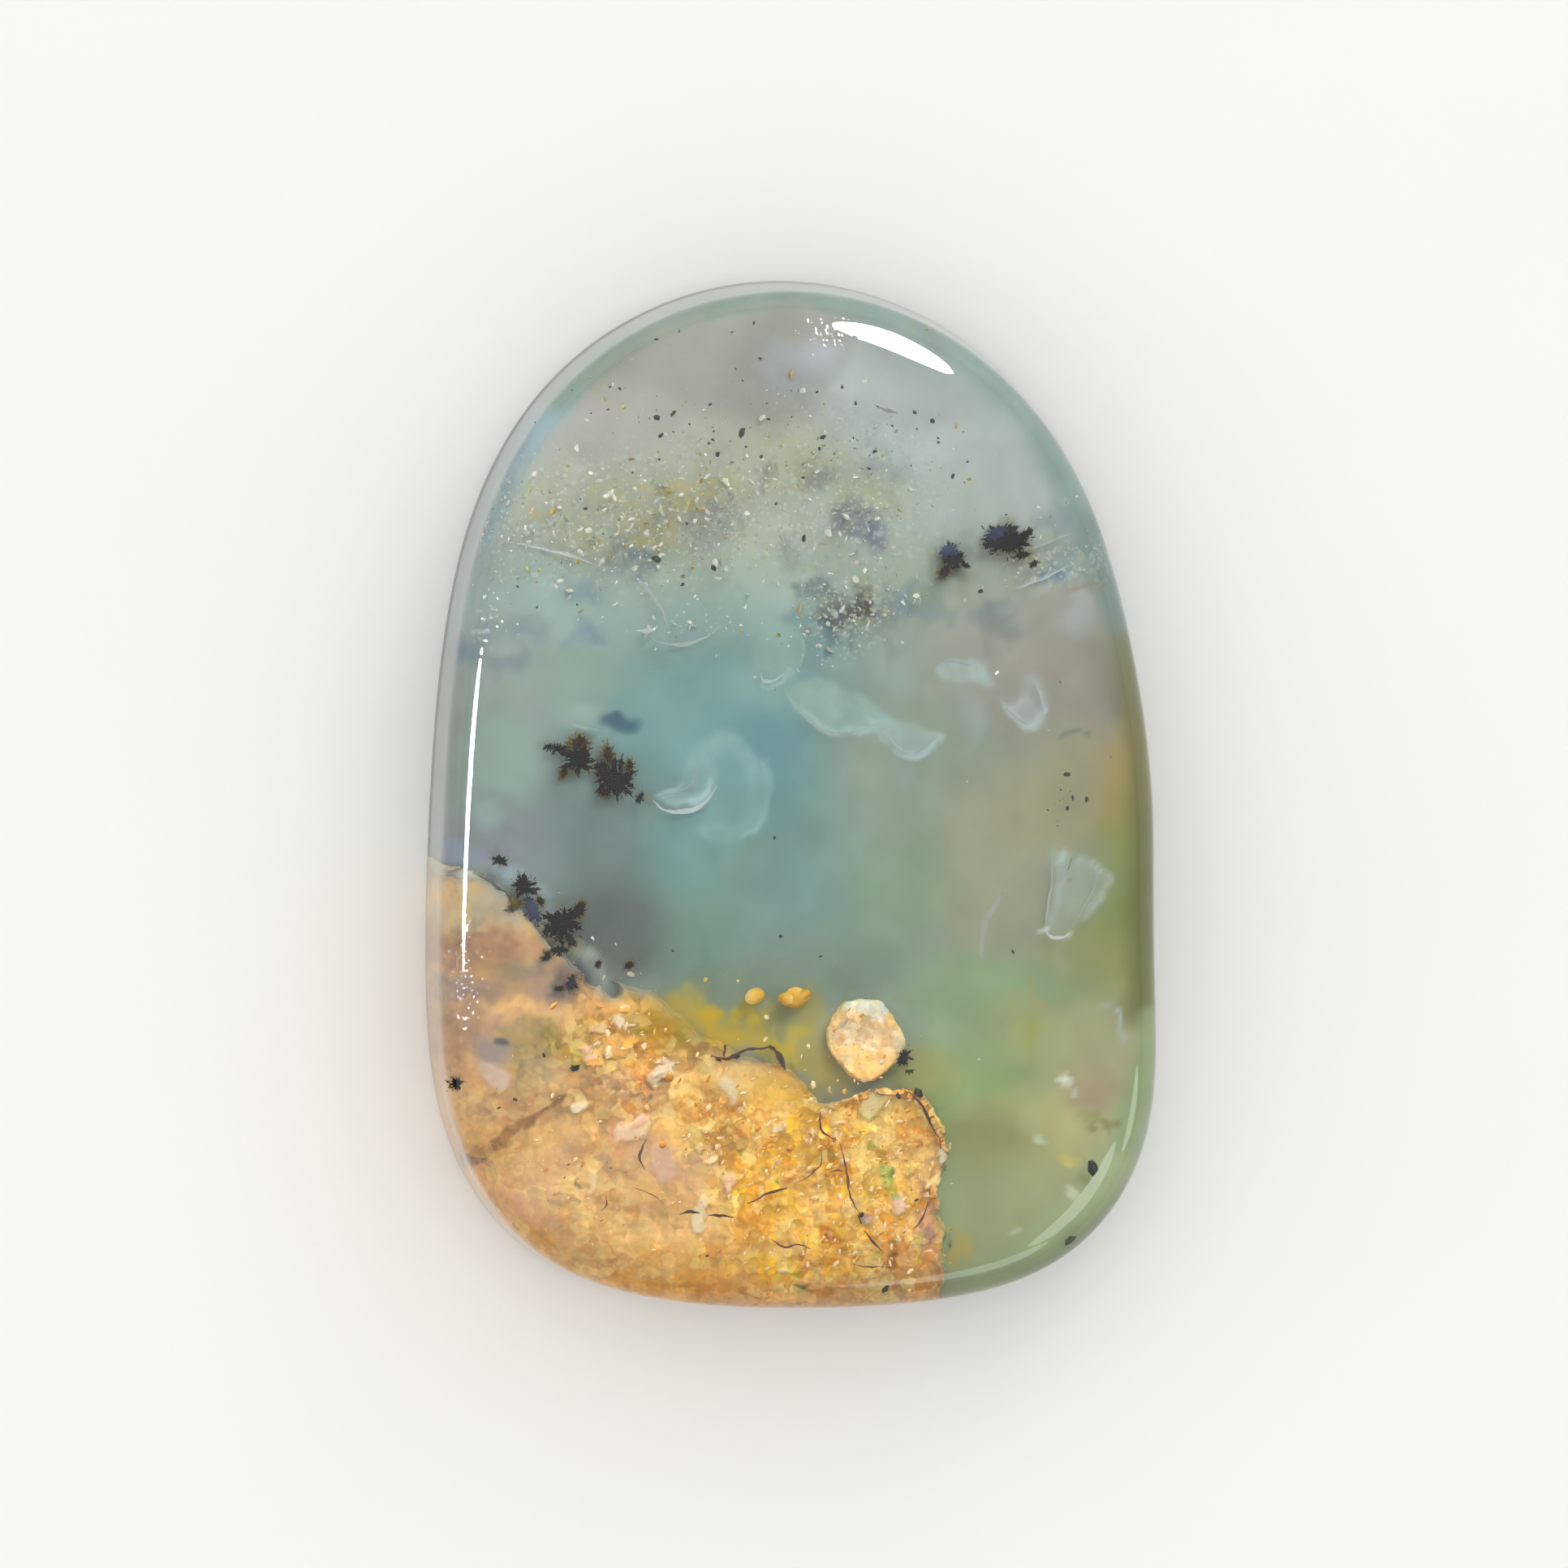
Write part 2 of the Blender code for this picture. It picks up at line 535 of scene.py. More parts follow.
@dataclass(frozen=True)
class Patch:
    """A soft oval of colour, with its centre and radii in millimetres."""

    centre: Place
    radii: Place
    tint: Tint
    strength: float = 1.0
    softness: float = 0.6
    degrees: float = 0.0

    def share(self, places: np.ndarray) -> np.ndarray:
        """How much of this mark shows at each place, from 0 to 1."""
        turn = math.radians(self.degrees)
        moved = places - np.array(self.centre)
        along = moved @ np.array([math.cos(turn), math.sin(turn)]) / self.radii[0]
        across = moved @ np.array([-math.sin(turn), math.cos(turn)]) / self.radii[1]
        distance = np.hypot(along, across)
        return self.strength * (1 - eased(distance, 1 - self.softness, 1 + self.softness))


@dataclass(frozen=True)
class Stroke:
    """A line of colour along a route, as wide at its start and end as its widths say."""

    route: tuple[Place, ...]
    widths: Place
    tint: Tint
    strength: float = 1.0
    softness: float = 0.6

    def share(self, places: np.ndarray) -> np.ndarray:
        """How much of this mark shows at each place, from 0 to 1."""
        off, along = distance_to(rounded(np.array(self.route), False), places, False)
        half = 0.5 * (self.widths[0] + (self.widths[1] - self.widths[0]) * along)
        return self.strength * (1 - eased(off / half, 1 - self.softness, 1 + self.softness))


@dataclass(frozen=True)
class Plate:
    """A cloud with a drawn outline and a soft edge, brighter along the side that it faces."""

    outline: tuple[Place, ...]
    tint: Tint
    strength: float = 0.9
    edge: float = 0.08
    rim: Tint | None = None
    facing: float = -90.0
    rim_width: float = 0.09

    def _depth(self, places: np.ndarray) -> np.ndarray:
        """How far inside the outline each place is. Outside it is negative."""
        outline = rounded(np.array(self.outline), True)
        off, _ = distance_to(outline, places, True)
        inside = np.zeros(len(places), bool)
        for start, end in zip(outline, np.roll(outline, -1, 0)):
            crosses = (start[1] > places[:, 1]) != (end[1] > places[:, 1])
            rise = end[1] - start[1] if end[1] != start[1] else 1e-9
            meets = start[0] + (places[:, 1] - start[1]) * (end[0] - start[0]) / rise
            inside ^= crosses & (places[:, 0] < meets)
        return np.where(inside, off, -off)

    def share(self, places: np.ndarray) -> np.ndarray:
        """How much of this mark shows at each place, from 0 to 1."""
        return self.strength * eased(self._depth(places), -self.edge, self.edge)

    def rim_share(self, places: np.ndarray) -> np.ndarray:
        """How much of the bright rim shows at each place, from 0 to 1."""
        depth = self._depth(places)
        band = np.exp(-(((depth - self.rim_width * 0.6) / self.rim_width) ** 2))
        heading = math.radians(self.facing)
        moved = places - np.array(self.outline).mean(0)
        lengths = np.maximum(np.linalg.norm(moved, axis=1), 1e-9)
        side = moved @ np.array([math.cos(heading), math.sin(heading)]) / lengths
        return self.strength * band * eased(side, -0.1, 0.7)


Mark = Patch | Stroke | Plate


def marks(*rows: tuple | Mark, strength: float = 1.0, softness: float = 0.6) -> tuple[Mark, ...]:
    """Makes a patch of each bare row, and leaves strokes and plates among them as they are.

    Args:
        rows: A patch's x, y, two radii and tint, and where they differ from the group's, its
            own strength, softness and degrees.
        strength: The group's strength.
        softness: The group's softness.

    Returns:
        The marks in the order of the rows.
    """
    made = []
    for row in rows:
        if isinstance(row, tuple):
            x, y, along, across, tint, *own = row
            own += [strength, softness, 0.0][len(own):]
            row = Patch((x, y), (along, across), tint, *own)
        made.append(row)
    return tuple(made)


class Canvas:
    """The colours of a piece's points, as the eye sees them through the polish."""

    SIDEWAYS_SEED = 31
    UPWARDS_SEED = 47
    THINNING_SEED = 63
    VEIN_SEED = 70

    def __init__(self, points: np.ndarray, ground: Tint, view: View) -> None:
        """Starts with one tint all over.

        Args:
            points: The piece's points in metres.
            ground: The tint.
            view: The view that the marks' places are read in.
        """
        self.places = view.seen(points)
        self.tones = np.tile(rgb(ground), (len(points), 1))
        self.moved: dict[Growing, np.ndarray] = {}

    def wander(self, growing: Growing) -> np.ndarray:
        """The places as they are moved for marks whose edges wander in this way."""
        if growing not in self.moved:
            reach, scale, octaves, _ = growing.value
            sideways = Growth(self.SIDEWAYS_SEED).swing(self.places, scale, octaves)
            upwards = Growth(self.UPWARDS_SEED).swing(self.places, scale, octaves)
            self.moved[growing] = self.places + reach * np.column_stack([sideways, upwards])
        return self.moved[growing]

    def lay(self, marks: tuple[Mark, ...], growing: Growing) -> None:
        """Lays marks over the colours in turn."""
        places = self.wander(growing)
        patchiness = growing.value[3]
        drifts = Growth(self.THINNING_SEED).swing(self.places, 1.9, 4)
        thin = 1 - patchiness * eased(drifts, -0.6, 0.7)
        for mark in marks:
            self.blend(mark.share(places) * thin, mark.tint)
            if isinstance(mark, Plate) and mark.rim is not None:
                self.blend(mark.rim_share(places) * (0.3 + 0.7 * thin), mark.rim)

    def cloud(self, seed: int, scale: float, amount: float) -> None:
        """Makes the colours lighter and darker by an amount, in soft drifts."""
        self.tones *= 1 + amount * Growth(seed).swing(self.wander(Growing.GROWN), scale, 4)[:, None]

    def blend(self, share: np.ndarray, tint: Tint) -> None:
        """Blends one tint in by a share for each point."""
        self.tones += share[:, None] * (rgb(tint) - self.tones)

    def marble(self, tints: tuple[Tint, ...], scale: float, strength: np.ndarray) -> None:
        """Runs veins and clouds of each tint through the colours.

        Args:
            tints: The tints, which each have drifts of their own.
            scale: How many drifts there are to the millimetre.
            strength: How much of a tint shows at most, at each place.
        """
        for index, tint in enumerate(tints):
            swing = Growth(self.VEIN_SEED + index).swing(self.wander(Growing.RAGGED), scale, 4)
            self.blend(strength * eased(swing, 0.15, 0.75), tint)

    def keep(self, piece: bpy.types.Object) -> None:
        """Keeps the colours on the piece as base colours, under the name tint."""
        attribute = piece.data.color_attributes.new("tint", "FLOAT_COLOR", "POINT")
        colours = np.column_stack([under_polish(self.tones), np.ones(len(self.tones))])
        attribute.data.foreach_set("color", colours.astype(np.float32).ravel())


class Sheet:
    """A node tree, with short ways to place nodes on it and join them."""

    def __init__(self, tree: bpy.types.NodeTree) -> None:
        """Takes the tree that the nodes go on."""
        self.tree = tree

    def node(self, kind: str, **settings: object) -> bpy.types.Node:
        """Places a node of this kind and gives it these settings."""
        made = self.tree.nodes.new(kind)
        for key, value in settings.items():
            setattr(made, key, value)
        return made

    def feed(self, socket: bpy.types.NodeSocket, value: object) -> None:
        """Joins an output to a socket, or sets the socket to a plain value."""
        if isinstance(value, bpy.types.NodeSocket):
            self.tree.links.new(value, socket)
        else:
            socket.default_value = value

    def math(self, operation: str, *values: object, clamp: bool = False) -> bpy.types.NodeSocket:
        """A Math node's result from one to three values."""
        made = self.node("ShaderNodeMath", operation=operation, use_clamp=clamp)
        for socket, value in zip(made.inputs, values):
            self.feed(socket, value)
        return made.outputs[0]

    def vector(self, operation: str, *values: object) -> bpy.types.Node:
        """A Vector Math node, fed with these values."""
        made = self.node("ShaderNodeVectorMath", operation=operation)
        sockets = [made.inputs[0], made.inputs["Scale"]] if operation == "SCALE" else made.inputs
        for socket, value in zip(sockets, values):
            self.feed(socket, value)
        return made

    def blend(self, share: object, below: object, above: object, how: str = "MIX") -> bpy.types.NodeSocket:
        """Lays one colour over another by a share.

        Args:
            share: How much of the upper colour shows, from 0 to 1.
            below: The colour underneath.
            above: The colour on top.
            how: The blend type.

        Returns:
            The mixed colour.
        """
        made = self.node("ShaderNodeMix", data_type="RGBA", blend_type=how)
        for index, value in ((0, share), (6, below), (7, above)):
            self.feed(made.inputs[index], value)
        return made.outputs[2]

    def ease(
        self, value: object, low: object, high: object, start: float = 0.0, end: float = 1.0
    ) -> bpy.types.NodeSocket:
        """Eases a value from start to end as it goes from low to high.

        Args:
            value: The value that is read.
            low: Where the result leaves start.
            high: Where the result reaches end.
            start: The result at low and before.
            end: The result at high and past it.

        Returns:
            The eased value.
        """
        made = self.node("ShaderNodeMapRange", interpolation_type="SMOOTHSTEP")
        for index, setting in enumerate((value, low, high, start, end)):
            self.feed(made.inputs[index], setting)
        return made.outputs[0]

    def noise(
        self, vector: object, scale: object, detail: float = 2.0, roughness: float = 0.5
    ) -> bpy.types.Node:
        """A Noise Texture node over this vector."""
        made = self.node("ShaderNodeTexNoise")
        self.feed(made.inputs["Vector"], vector)
        self.feed(made.inputs["Scale"], scale)
        made.inputs["Detail"].default_value = detail
        made.inputs["Roughness"].default_value = roughness
        return made

    def cells(self, vector: object, scale: object, feature: str = "F1") -> bpy.types.Node:
        """A Voronoi Texture node over this vector."""
        made = self.node("ShaderNodeTexVoronoi", feature=feature)
        self.feed(made.inputs["Vector"], vector)
        self.feed(made.inputs["Scale"], scale)
        return made

    def parts(self, colour: object) -> bpy.types.Node:
        """A colour's red, green and blue."""
        made = self.node("ShaderNodeSeparateColor")
        self.feed(made.inputs[0], colour)
        return made

    def kept(self, name: str) -> bpy.types.Node:
        """What a piece's points keep under this name."""
        return self.node("ShaderNodeAttribute", attribute_name=name)

    def feed_named(self, node: bpy.types.Node, values: dict[str, object]) -> None:
        """Feeds a node's inputs by name, with underscores read as spaces."""
        for key, value in values.items():
            self.feed(node.inputs[key.replace("_", " ")], value)

    def group(self, effect: bpy.types.NodeTree, **values: object) -> bpy.types.Node:
        """Places a shared effect, fed with these values."""
        made = self.node("ShaderNodeGroup", node_tree=effect)
        self.feed_named(made, values)
        return made

    def millimetres(self) -> bpy.types.NodeSocket:
        """Object coordinates in millimetres."""
        coordinates = self.node("ShaderNodeTexCoord")
        return self.vector("SCALE", coordinates.outputs["Object"], 1 / MM).outputs[0]


class Effects:
    """The node groups that more than one finish uses, each built once."""

    def __init__(self) -> None:
        """Builds every group."""
        self.mottle = self._mottle()
        self.specks = self._specks()
        self.crystals = self._crystals()

    @staticmethod
    def _start(
        name: str, inputs: dict[str, object], outputs: dict[str, str]
    ) -> tuple[Sheet, bpy.types.Node, bpy.types.Node]:
        """Starts a group with named sockets.

        Args:
            name: The group's name.
            inputs: Each input's name and what it holds at first: a number, a point or a colour.
            outputs: Each output's name and kind of socket.

        Returns:
            The group's sheet, its input node and its output node.
        """
        tree = bpy.data.node_groups.new(name, "ShaderNodeTree")
        kinds = {1: "NodeSocketFloat", 3: "NodeSocketVector", 4: "NodeSocketColor"}
        for key, value in inputs.items():
            size = 1 if isinstance(value, float) else len(value)
            socket = tree.interface.new_socket(name=key, in_out="INPUT", socket_type=kinds[size])
            socket.default_value = value
        for key, kind in outputs.items():
            tree.interface.new_socket(name=key, in_out="OUTPUT", socket_type=kind)
        sheet = Sheet(tree)
        return sheet, sheet.node("NodeGroupInput"), sheet.node("NodeGroupOutput")

    def _mottle(self) -> bpy.types.NodeTree:
        """A colour made a little lighter and darker over the surface."""
        sheet, given, out = self._start(
            "Mottle",
            {"Vector": (0.0, 0.0, 0.0), "Colour": (0.5, 0.5, 0.5, 1.0), "Scale": 1.0, "Depth": 0.1},
            {"Colour": "NodeSocketColor"},
        )
        noise = sheet.noise(given.outputs["Vector"], given.outputs["Scale"], 3.0, 0.6)
        swing = sheet.math("SUBTRACT", noise.outputs[0], 0.5)
        double = sheet.math("MULTIPLY", given.outputs["Depth"], 2.0)
        gain = sheet.math("MULTIPLY_ADD", swing, double, 1.0)
        toned = sheet.vector("SCALE", given.outputs["Colour"], gain).outputs[0]
        sheet.feed(out.inputs["Colour"], toned)
        return sheet.tree

    def _specks(self) -> bpy.types.NodeTree:
        """Sparse specks, one in each of a share of small cells."""
        sheet, given, out = self._start(
            "Specks",
            {"Vector": (0.0, 0.0, 0.0), "Scale": 4.0, "Size": 0.2, "Share": 0.3},
            {"Mask": "NodeSocketFloat", "Tone": "NodeSocketFloat"},
        )
        cells = sheet.cells(given.outputs["Vector"], given.outputs["Scale"])
        parts = sheet.parts(cells.outputs["Color"])
        chosen = sheet.math("LESS_THAN", parts.outputs[0], given.outputs["Share"])
        size = sheet.math("MULTIPLY", given.outputs["Size"], sheet.math("ADD", parts.outputs[1], 0.4))
        core = sheet.math("MULTIPLY", size, 0.6)
        dot = sheet.ease(cells.outputs["Distance"], core, size, 1.0, 0.0)
        sheet.feed(out.inputs["Mask"], sheet.math("MULTIPLY", dot, chosen))
        sheet.feed(out.inputs["Tone"], parts.outputs[2])
        return sheet.tree

    def _crystals(self) -> bpy.types.NodeTree:
        """A colour broken into crystals, some lighter and some deeper, each with painted light and shade
        across it, with seams between them.
        """
        sheet, given, out = self._start(
            "Crystals",
            {
                "Vector": (0.0, 0.0, 0.0),
                "Colour": (0.5, 0.5, 0.5, 1.0),
                "Light": (1.0, 1.0, 1.0, 1.0),
                "Deep": (0.3, 0.2, 0.1, 1.0),
                "Scale": 6.0,
                "Strength": 1.0,
            },
            {"Colour": "NodeSocketColor"},
        )
        place = given.outputs["Vector"]
        bent = sheet.noise(place, given.outputs["Scale"], 2.0).outputs[1]
        place = sheet.vector("MULTIPLY_ADD", bent, (0.16, 0.16, 0.16), place).outputs[0]
        cells = sheet.cells(place, given.outputs["Scale"])
        parts = sheet.parts(cells.outputs["Color"])
        strength = given.outputs["Strength"]
        # Painted light and shade: each crystal's tone also runs from a lighter side to a darker side, as on
        # a lit facet
        within = sheet.vector("SUBTRACT", place, cells.outputs["Position"]).outputs[0]
        within = sheet.vector("SCALE", within, given.outputs["Scale"]).outputs[0]
        slope = sheet.vector("SUBTRACT", cells.outputs["Color"], (0.5, 0.5, 0.5)).outputs[0]
        facet_shading = sheet.vector("DOT_PRODUCT", within, slope).outputs["Value"]
        swing = sheet.math("MULTIPLY_ADD", facet_shading, 2.4, sheet.math("SUBTRACT", parts.outputs[2], 0.32))
        swing = sheet.math("MULTIPLY", swing, strength)
        gain = sheet.math("MULTIPLY_ADD", swing, 0.42, 1.0)
        colour: object = sheet.vector("SCALE", given.outputs["Colour"], gain).outputs[0]
        for part, tint, most in ((0, "Light", 0.9), (1, "Deep", 0.6)):
            chosen = sheet.ease(parts.outputs[part], 0.78, 0.88, 0.0, most)
            colour = sheet.blend(sheet.math("MULTIPLY", chosen, strength), colour, given.outputs[tint])
        edges = sheet.cells(place, given.outputs["Scale"], "DISTANCE_TO_EDGE")
        seams = sheet.ease(edges.outputs["Distance"], 0.0, 0.07, 0.35, 0.0)
        colour = sheet.blend(sheet.math("MULTIPLY", seams, strength), colour, given.outputs["Deep"])
        sheet.feed(out.inputs["Colour"], colour)
        return sheet.tree


def new_material(name: str, **values: object) -> tuple[bpy.types.Material, Sheet, bpy.types.Node]:
    """Makes a material with one Principled shader.

    Args:
        name: The material's name.
        values: What the shader's inputs are fed with, by name.

    Returns:
        The material, its sheet and its shader.
    """
    material = bpy.data.materials.new(name)
    material.use_nodes = True
    sheet = Sheet(material.node_tree)
    shader = material.node_tree.nodes["Principled BSDF"]
    sheet.feed_named(shader, values)
    return material, sheet, shader


@dataclass(frozen=True)
class PolishFinish:
    """Clear opal with a high polish, a faint blue-green tint and a fine pebbly surface."""

    tint: Tint = 0xF0FAF6
    ior: float = 1.45
    roughness: float = 0.015
    absorbed: Tint = 0xC4E2DC
    density: float = 160.0
    ripple_scale: float = 1.6
    ripple_height: float = 0.0006 * MM
    grit_scale: float = 8.0
    grit_height: float = 0.006 * MM
    # Where the polish is worn, which breaks its highlights into sparkles: place and reach
    worn: tuple[tuple[Place, float], ...] = (((0.7, 11.5), 0.9), ((-7.5, 4.4), 1.1), ((-8.0, -4.2), 1.7))

    def build(self, effects: Effects) -> bpy.types.Material:
        """Makes the material.

        Args:
            effects: The shared node groups.

        Returns:
            The finished material.
        """
        material, sheet, shader = new_material(
            "polished_opal_skin",
            Base_Color=paint(self.tint),
            Metallic=0.0,
            Roughness=self.roughness,
            IOR=self.ior,
            Transmission_Weight=1.0,
        )
        place = sheet.millimetres()
        ripple = sheet.noise(place, self.ripple_scale, 1.0).outputs[0]
        grit = sheet.group(effects.specks, Vector=place, Scale=self.grit_scale, Size=0.8, Share=0.7)
        flat = sheet.vector("MULTIPLY", place, (1.0, 1.0, 0.0)).outputs[0]
        wear: object = 0.0
        for spot, reach in self.worn:
            distance = sheet.vector("DISTANCE", flat, (*spot, 0.0)).outputs["Value"]
            wear = sheet.math("MAXIMUM", wear, sheet.ease(distance, reach * 0.4, reach, 1.0, 0.0))
        lifted = sheet.math("MULTIPLY", ripple, self.ripple_height)
        pitted = sheet.math("MULTIPLY", grit.outputs["Mask"], wear)
        height = sheet.math("MULTIPLY_ADD", pitted, -self.grit_height, lifted)
        bump = sheet.node("ShaderNodeBump")
        sheet.feed_named(bump, {"Distance": 1.0, "Height": height})
        sheet.feed(shader.inputs["Normal"], bump.outputs[0])
        absorption = sheet.node("ShaderNodeVolumeAbsorption")
        sheet.feed_named(absorption, {"Color": paint(self.absorbed), "Density": self.density})
        output = material.node_tree.nodes["Material Output"]
        sheet.feed(output.inputs["Volume"], absorption.outputs[0])
        return material


@dataclass(frozen=True)
class CloudFinish:
    """The clouded opal's finish: its painted tints, softly mottled, with faint deep specks."""

    name: str = "clouded_opal"
    # The fine dust among the grains: how fine it is, and its two tints
    dust: tuple[tuple[float, tuple[Tint, Tint]], ...] = (
        (4.0, (0xB2B892, 0xB8C4BC)),
        (7.0, (0x8C968A, 0xCCD6CC)),
        (11.0, (0xBEB880, 0xD8E0D8)),
    )
    broad: float = 0.07
    fine: float = 0.012

    def build(self, effects: Effects) -> bpy.types.Material:
        """Makes the material, and takes and gives what PolishFinish.build does."""
        material, sheet, shader = new_material(self.name, Roughness=0.55, Specular_IOR_Level=0.0)
        place = sheet.millimetres()
        tint = sheet.kept("tint").outputs["Color"]
        broad = sheet.group(effects.mottle, Vector=place, Colour=tint, Scale=0.7, Depth=self.broad)
        colour = broad.outputs[0]
        fine = sheet.group(effects.mottle, Vector=place, Colour=colour, Scale=3.5, Depth=self.fine)
        grainy = sheet.kept("grainy").outputs["Fac"]
        colour = fine.outputs[0]
        for scale, tints in self.dust:
            specks = sheet.group(effects.specks, Vector=place, Scale=scale, Size=0.5, Share=0.5)
            tone = sheet.ease(specks.outputs["Tone"], 0.35, 0.65)
            speck = sheet.blend(tone, inner(tints[0]), inner(tints[1]))
            colour = sheet.blend(sheet.math("MULTIPLY", specks.outputs["Mask"], grainy), colour, speck)
        sheet.feed(shader.inputs["Base Color"], colour)
        return material


@dataclass(frozen=True)
class RockFinish:
    """Granular rock: its painted tints broken into crystals, with painted light and shade across the
    crystals and painted shade in its deepest pits.
    """

    name: str = "host_rock"
    light: Tint = 0xFEE690
    deep: Tint = 0xEC9E3A
    # Painted shade: the tint laid into the deepest pits
    pit: Tint = 0xCE8E46
    # How many crystals there are to the millimetre in each layer, and how strongly they show
    layers: tuple[tuple[float, float], ...] = ((1.4, 0.7), (3.2, 0.75), (6.5, 0.4))

    def build(self, effects: Effects) -> bpy.types.Material:
        """Makes the material, and takes and gives what PolishFinish.build does."""
        material, sheet, shader = new_material(self.name, Roughness=0.35, Specular_IOR_Level=0.15)
        place = sheet.millimetres()
        colour: object = sheet.kept("tint").outputs["Color"]
        clear = sheet.kept("clear").outputs["Fac"]
        tints = {"Light": inner(self.light), "Deep": inner(self.deep)}
        for scale, strength in self.layers:
            share = sheet.math("MULTIPLY", clear, strength)
            layer = sheet.group(
                effects.crystals, Vector=place, Colour=colour, **tints, Scale=scale, Strength=share
            )
            colour = layer.outputs[0]
        # Painted shade in the deepest pits, where the crystals show clearly
        pit_shade = sheet.ease(sheet.kept("pit").outputs["Fac"], 0.7, 1.2, 0.0, 0.25)
        colour = sheet.blend(sheet.math("MULTIPLY", pit_shade, clear), colour, inner(self.pit))
        mottled = sheet.group(effects.mottle, Vector=place, Colour=colour, Scale=1.6, Depth=0.16)
        sheet.feed(shader.inputs["Base Color"], mottled.outputs[0])
        return material


@dataclass(frozen=True)
class GrainFinish:
    """Small crystals whose tones run between a few tints, one tone to a crystal, with any painted light and
    shade across it.
    """

    name: str
    tints: tuple[Tint, ...]
    roughness: float = 0.3
    alpha: float = 1.0

    def build(self, effects: Effects) -> bpy.types.Material:
        """Makes the material, and takes and gives what PolishFinish.build does."""
        material, sheet, shader = new_material(self.name, Roughness=self.roughness, Alpha=self.alpha)
        ramp = sheet.node("ShaderNodeValToRGB")
        sheet.feed(ramp.inputs[0], sheet.kept("tone").outputs["Fac"])
        stops = ramp.color_ramp.elements
        while len(stops) < len(self.tints):
            stops.new(0.5)
        for index, tint in enumerate(self.tints):
            stops[index].position = index / (len(self.tints) - 1)
            stops[index].color = inner(tint)
        place = sheet.millimetres()
        mottled = sheet.group(effects.mottle, Vector=place, Colour=ramp.outputs[0], Scale=9.0, Depth=0.2)
        sheet.feed(shader.inputs["Base Color"], mottled.outputs[0])
        return material


@dataclass(frozen=True)
class MossFinish:
    """Moss-like growths: veiled blue-grey where deep, near black at heart, olive at the tips."""

    veiled: Tint = 0x4C566A
    heart: Tint = 0x181412
    middle: Tint = 0x3E321C
    tips: Tint = 0x7E7242

    def build(self, effects: Effects) -> bpy.types.Material:
        """Makes the material, and takes and gives what PolishFinish.build does."""
        material, sheet, shader = new_material("moss_growth", Roughness=0.6, Specular_IOR_Level=0.1)
        fringe = sheet.kept("fringe").outputs["Fac"]
        place = sheet.millimetres()
        noise = sheet.noise(place, 6.0, 3.0).outputs[0]
        spread = sheet.math("ADD", fringe, sheet.math("MULTIPLY_ADD", noise, 0.5, -0.25))
        out_of_veil = sheet.ease(spread, -0.7, -0.1)
        near = sheet.ease(spread, 0.3, 0.7)
        far = sheet.ease(spread, 0.7, 1.1)
        colour = sheet.blend(out_of_veil, inner(self.veiled), inner(self.heart))
        colour = sheet.blend(near, colour, inner(self.middle))
        sheet.feed(shader.inputs["Base Color"], sheet.blend(far, colour, inner(self.tips)))
        return material


@dataclass(frozen=True)
class Shape:
    """A modelled shape as bare triangles, ready to be copied."""

    points: np.ndarray
    triangles: np.ndarray

    @classmethod
    def take(cls, piece: bpy.types.Object) -> "Shape":
        """Reads a modelled piece as triangles and deletes it."""
        Bench.take(piece)
        bpy.ops.object.transform_apply(location=True, rotation=True, scale=True)
        piece.data.calc_loop_triangles()
        triangles = np.array([t.vertices for t in piece.data.loop_triangles])
        shape = cls(Bench.points(piece), triangles)
        bpy.data.objects.remove(piece)
        return shape


@dataclass
class Crowd:
    """Many copies of a few shapes, gathered into one mesh with a value for each point."""

    value_name: str
    points: list[np.ndarray] = field(default_factory=list)
    triangles: list[np.ndarray] = field(default_factory=list)
    values: list[np.ndarray] = field(default_factory=list)
    count: int = 0

    def add(self, shape: Shape, where: Vector, turn: Matrix, sizes: Vector, values: np.ndarray) -> None:
        """Adds one copy of a shape.

        Args:
            shape: The shape.
            where: Where its middle goes.
            turn: How it is turned, as a 3 by 3 matrix.
            sizes: Its scale along its own axes.
            values: The value of each of its points.
        """
        turned = (shape.points * np.array(sizes)) @ np.array(turn).T + np.array(where)
        self.points.append(turned)
        self.triangles.append(shape.triangles + self.count)
        self.values.append(values)
        self.count += len(turned)

    def gather(self, name: str) -> bpy.types.Object:
        """Makes the one mesh object of all the copies."""
        mesh = bpy.data.meshes.new(name)
        mesh.from_pydata(np.concatenate(self.points).tolist(), [], np.concatenate(self.triangles).tolist())
        piece = bpy.data.objects.new(name, mesh)
        bpy.context.scene.collection.objects.link(piece)
        Bench.keep(piece, self.value_name, np.concatenate(self.values))
        return piece


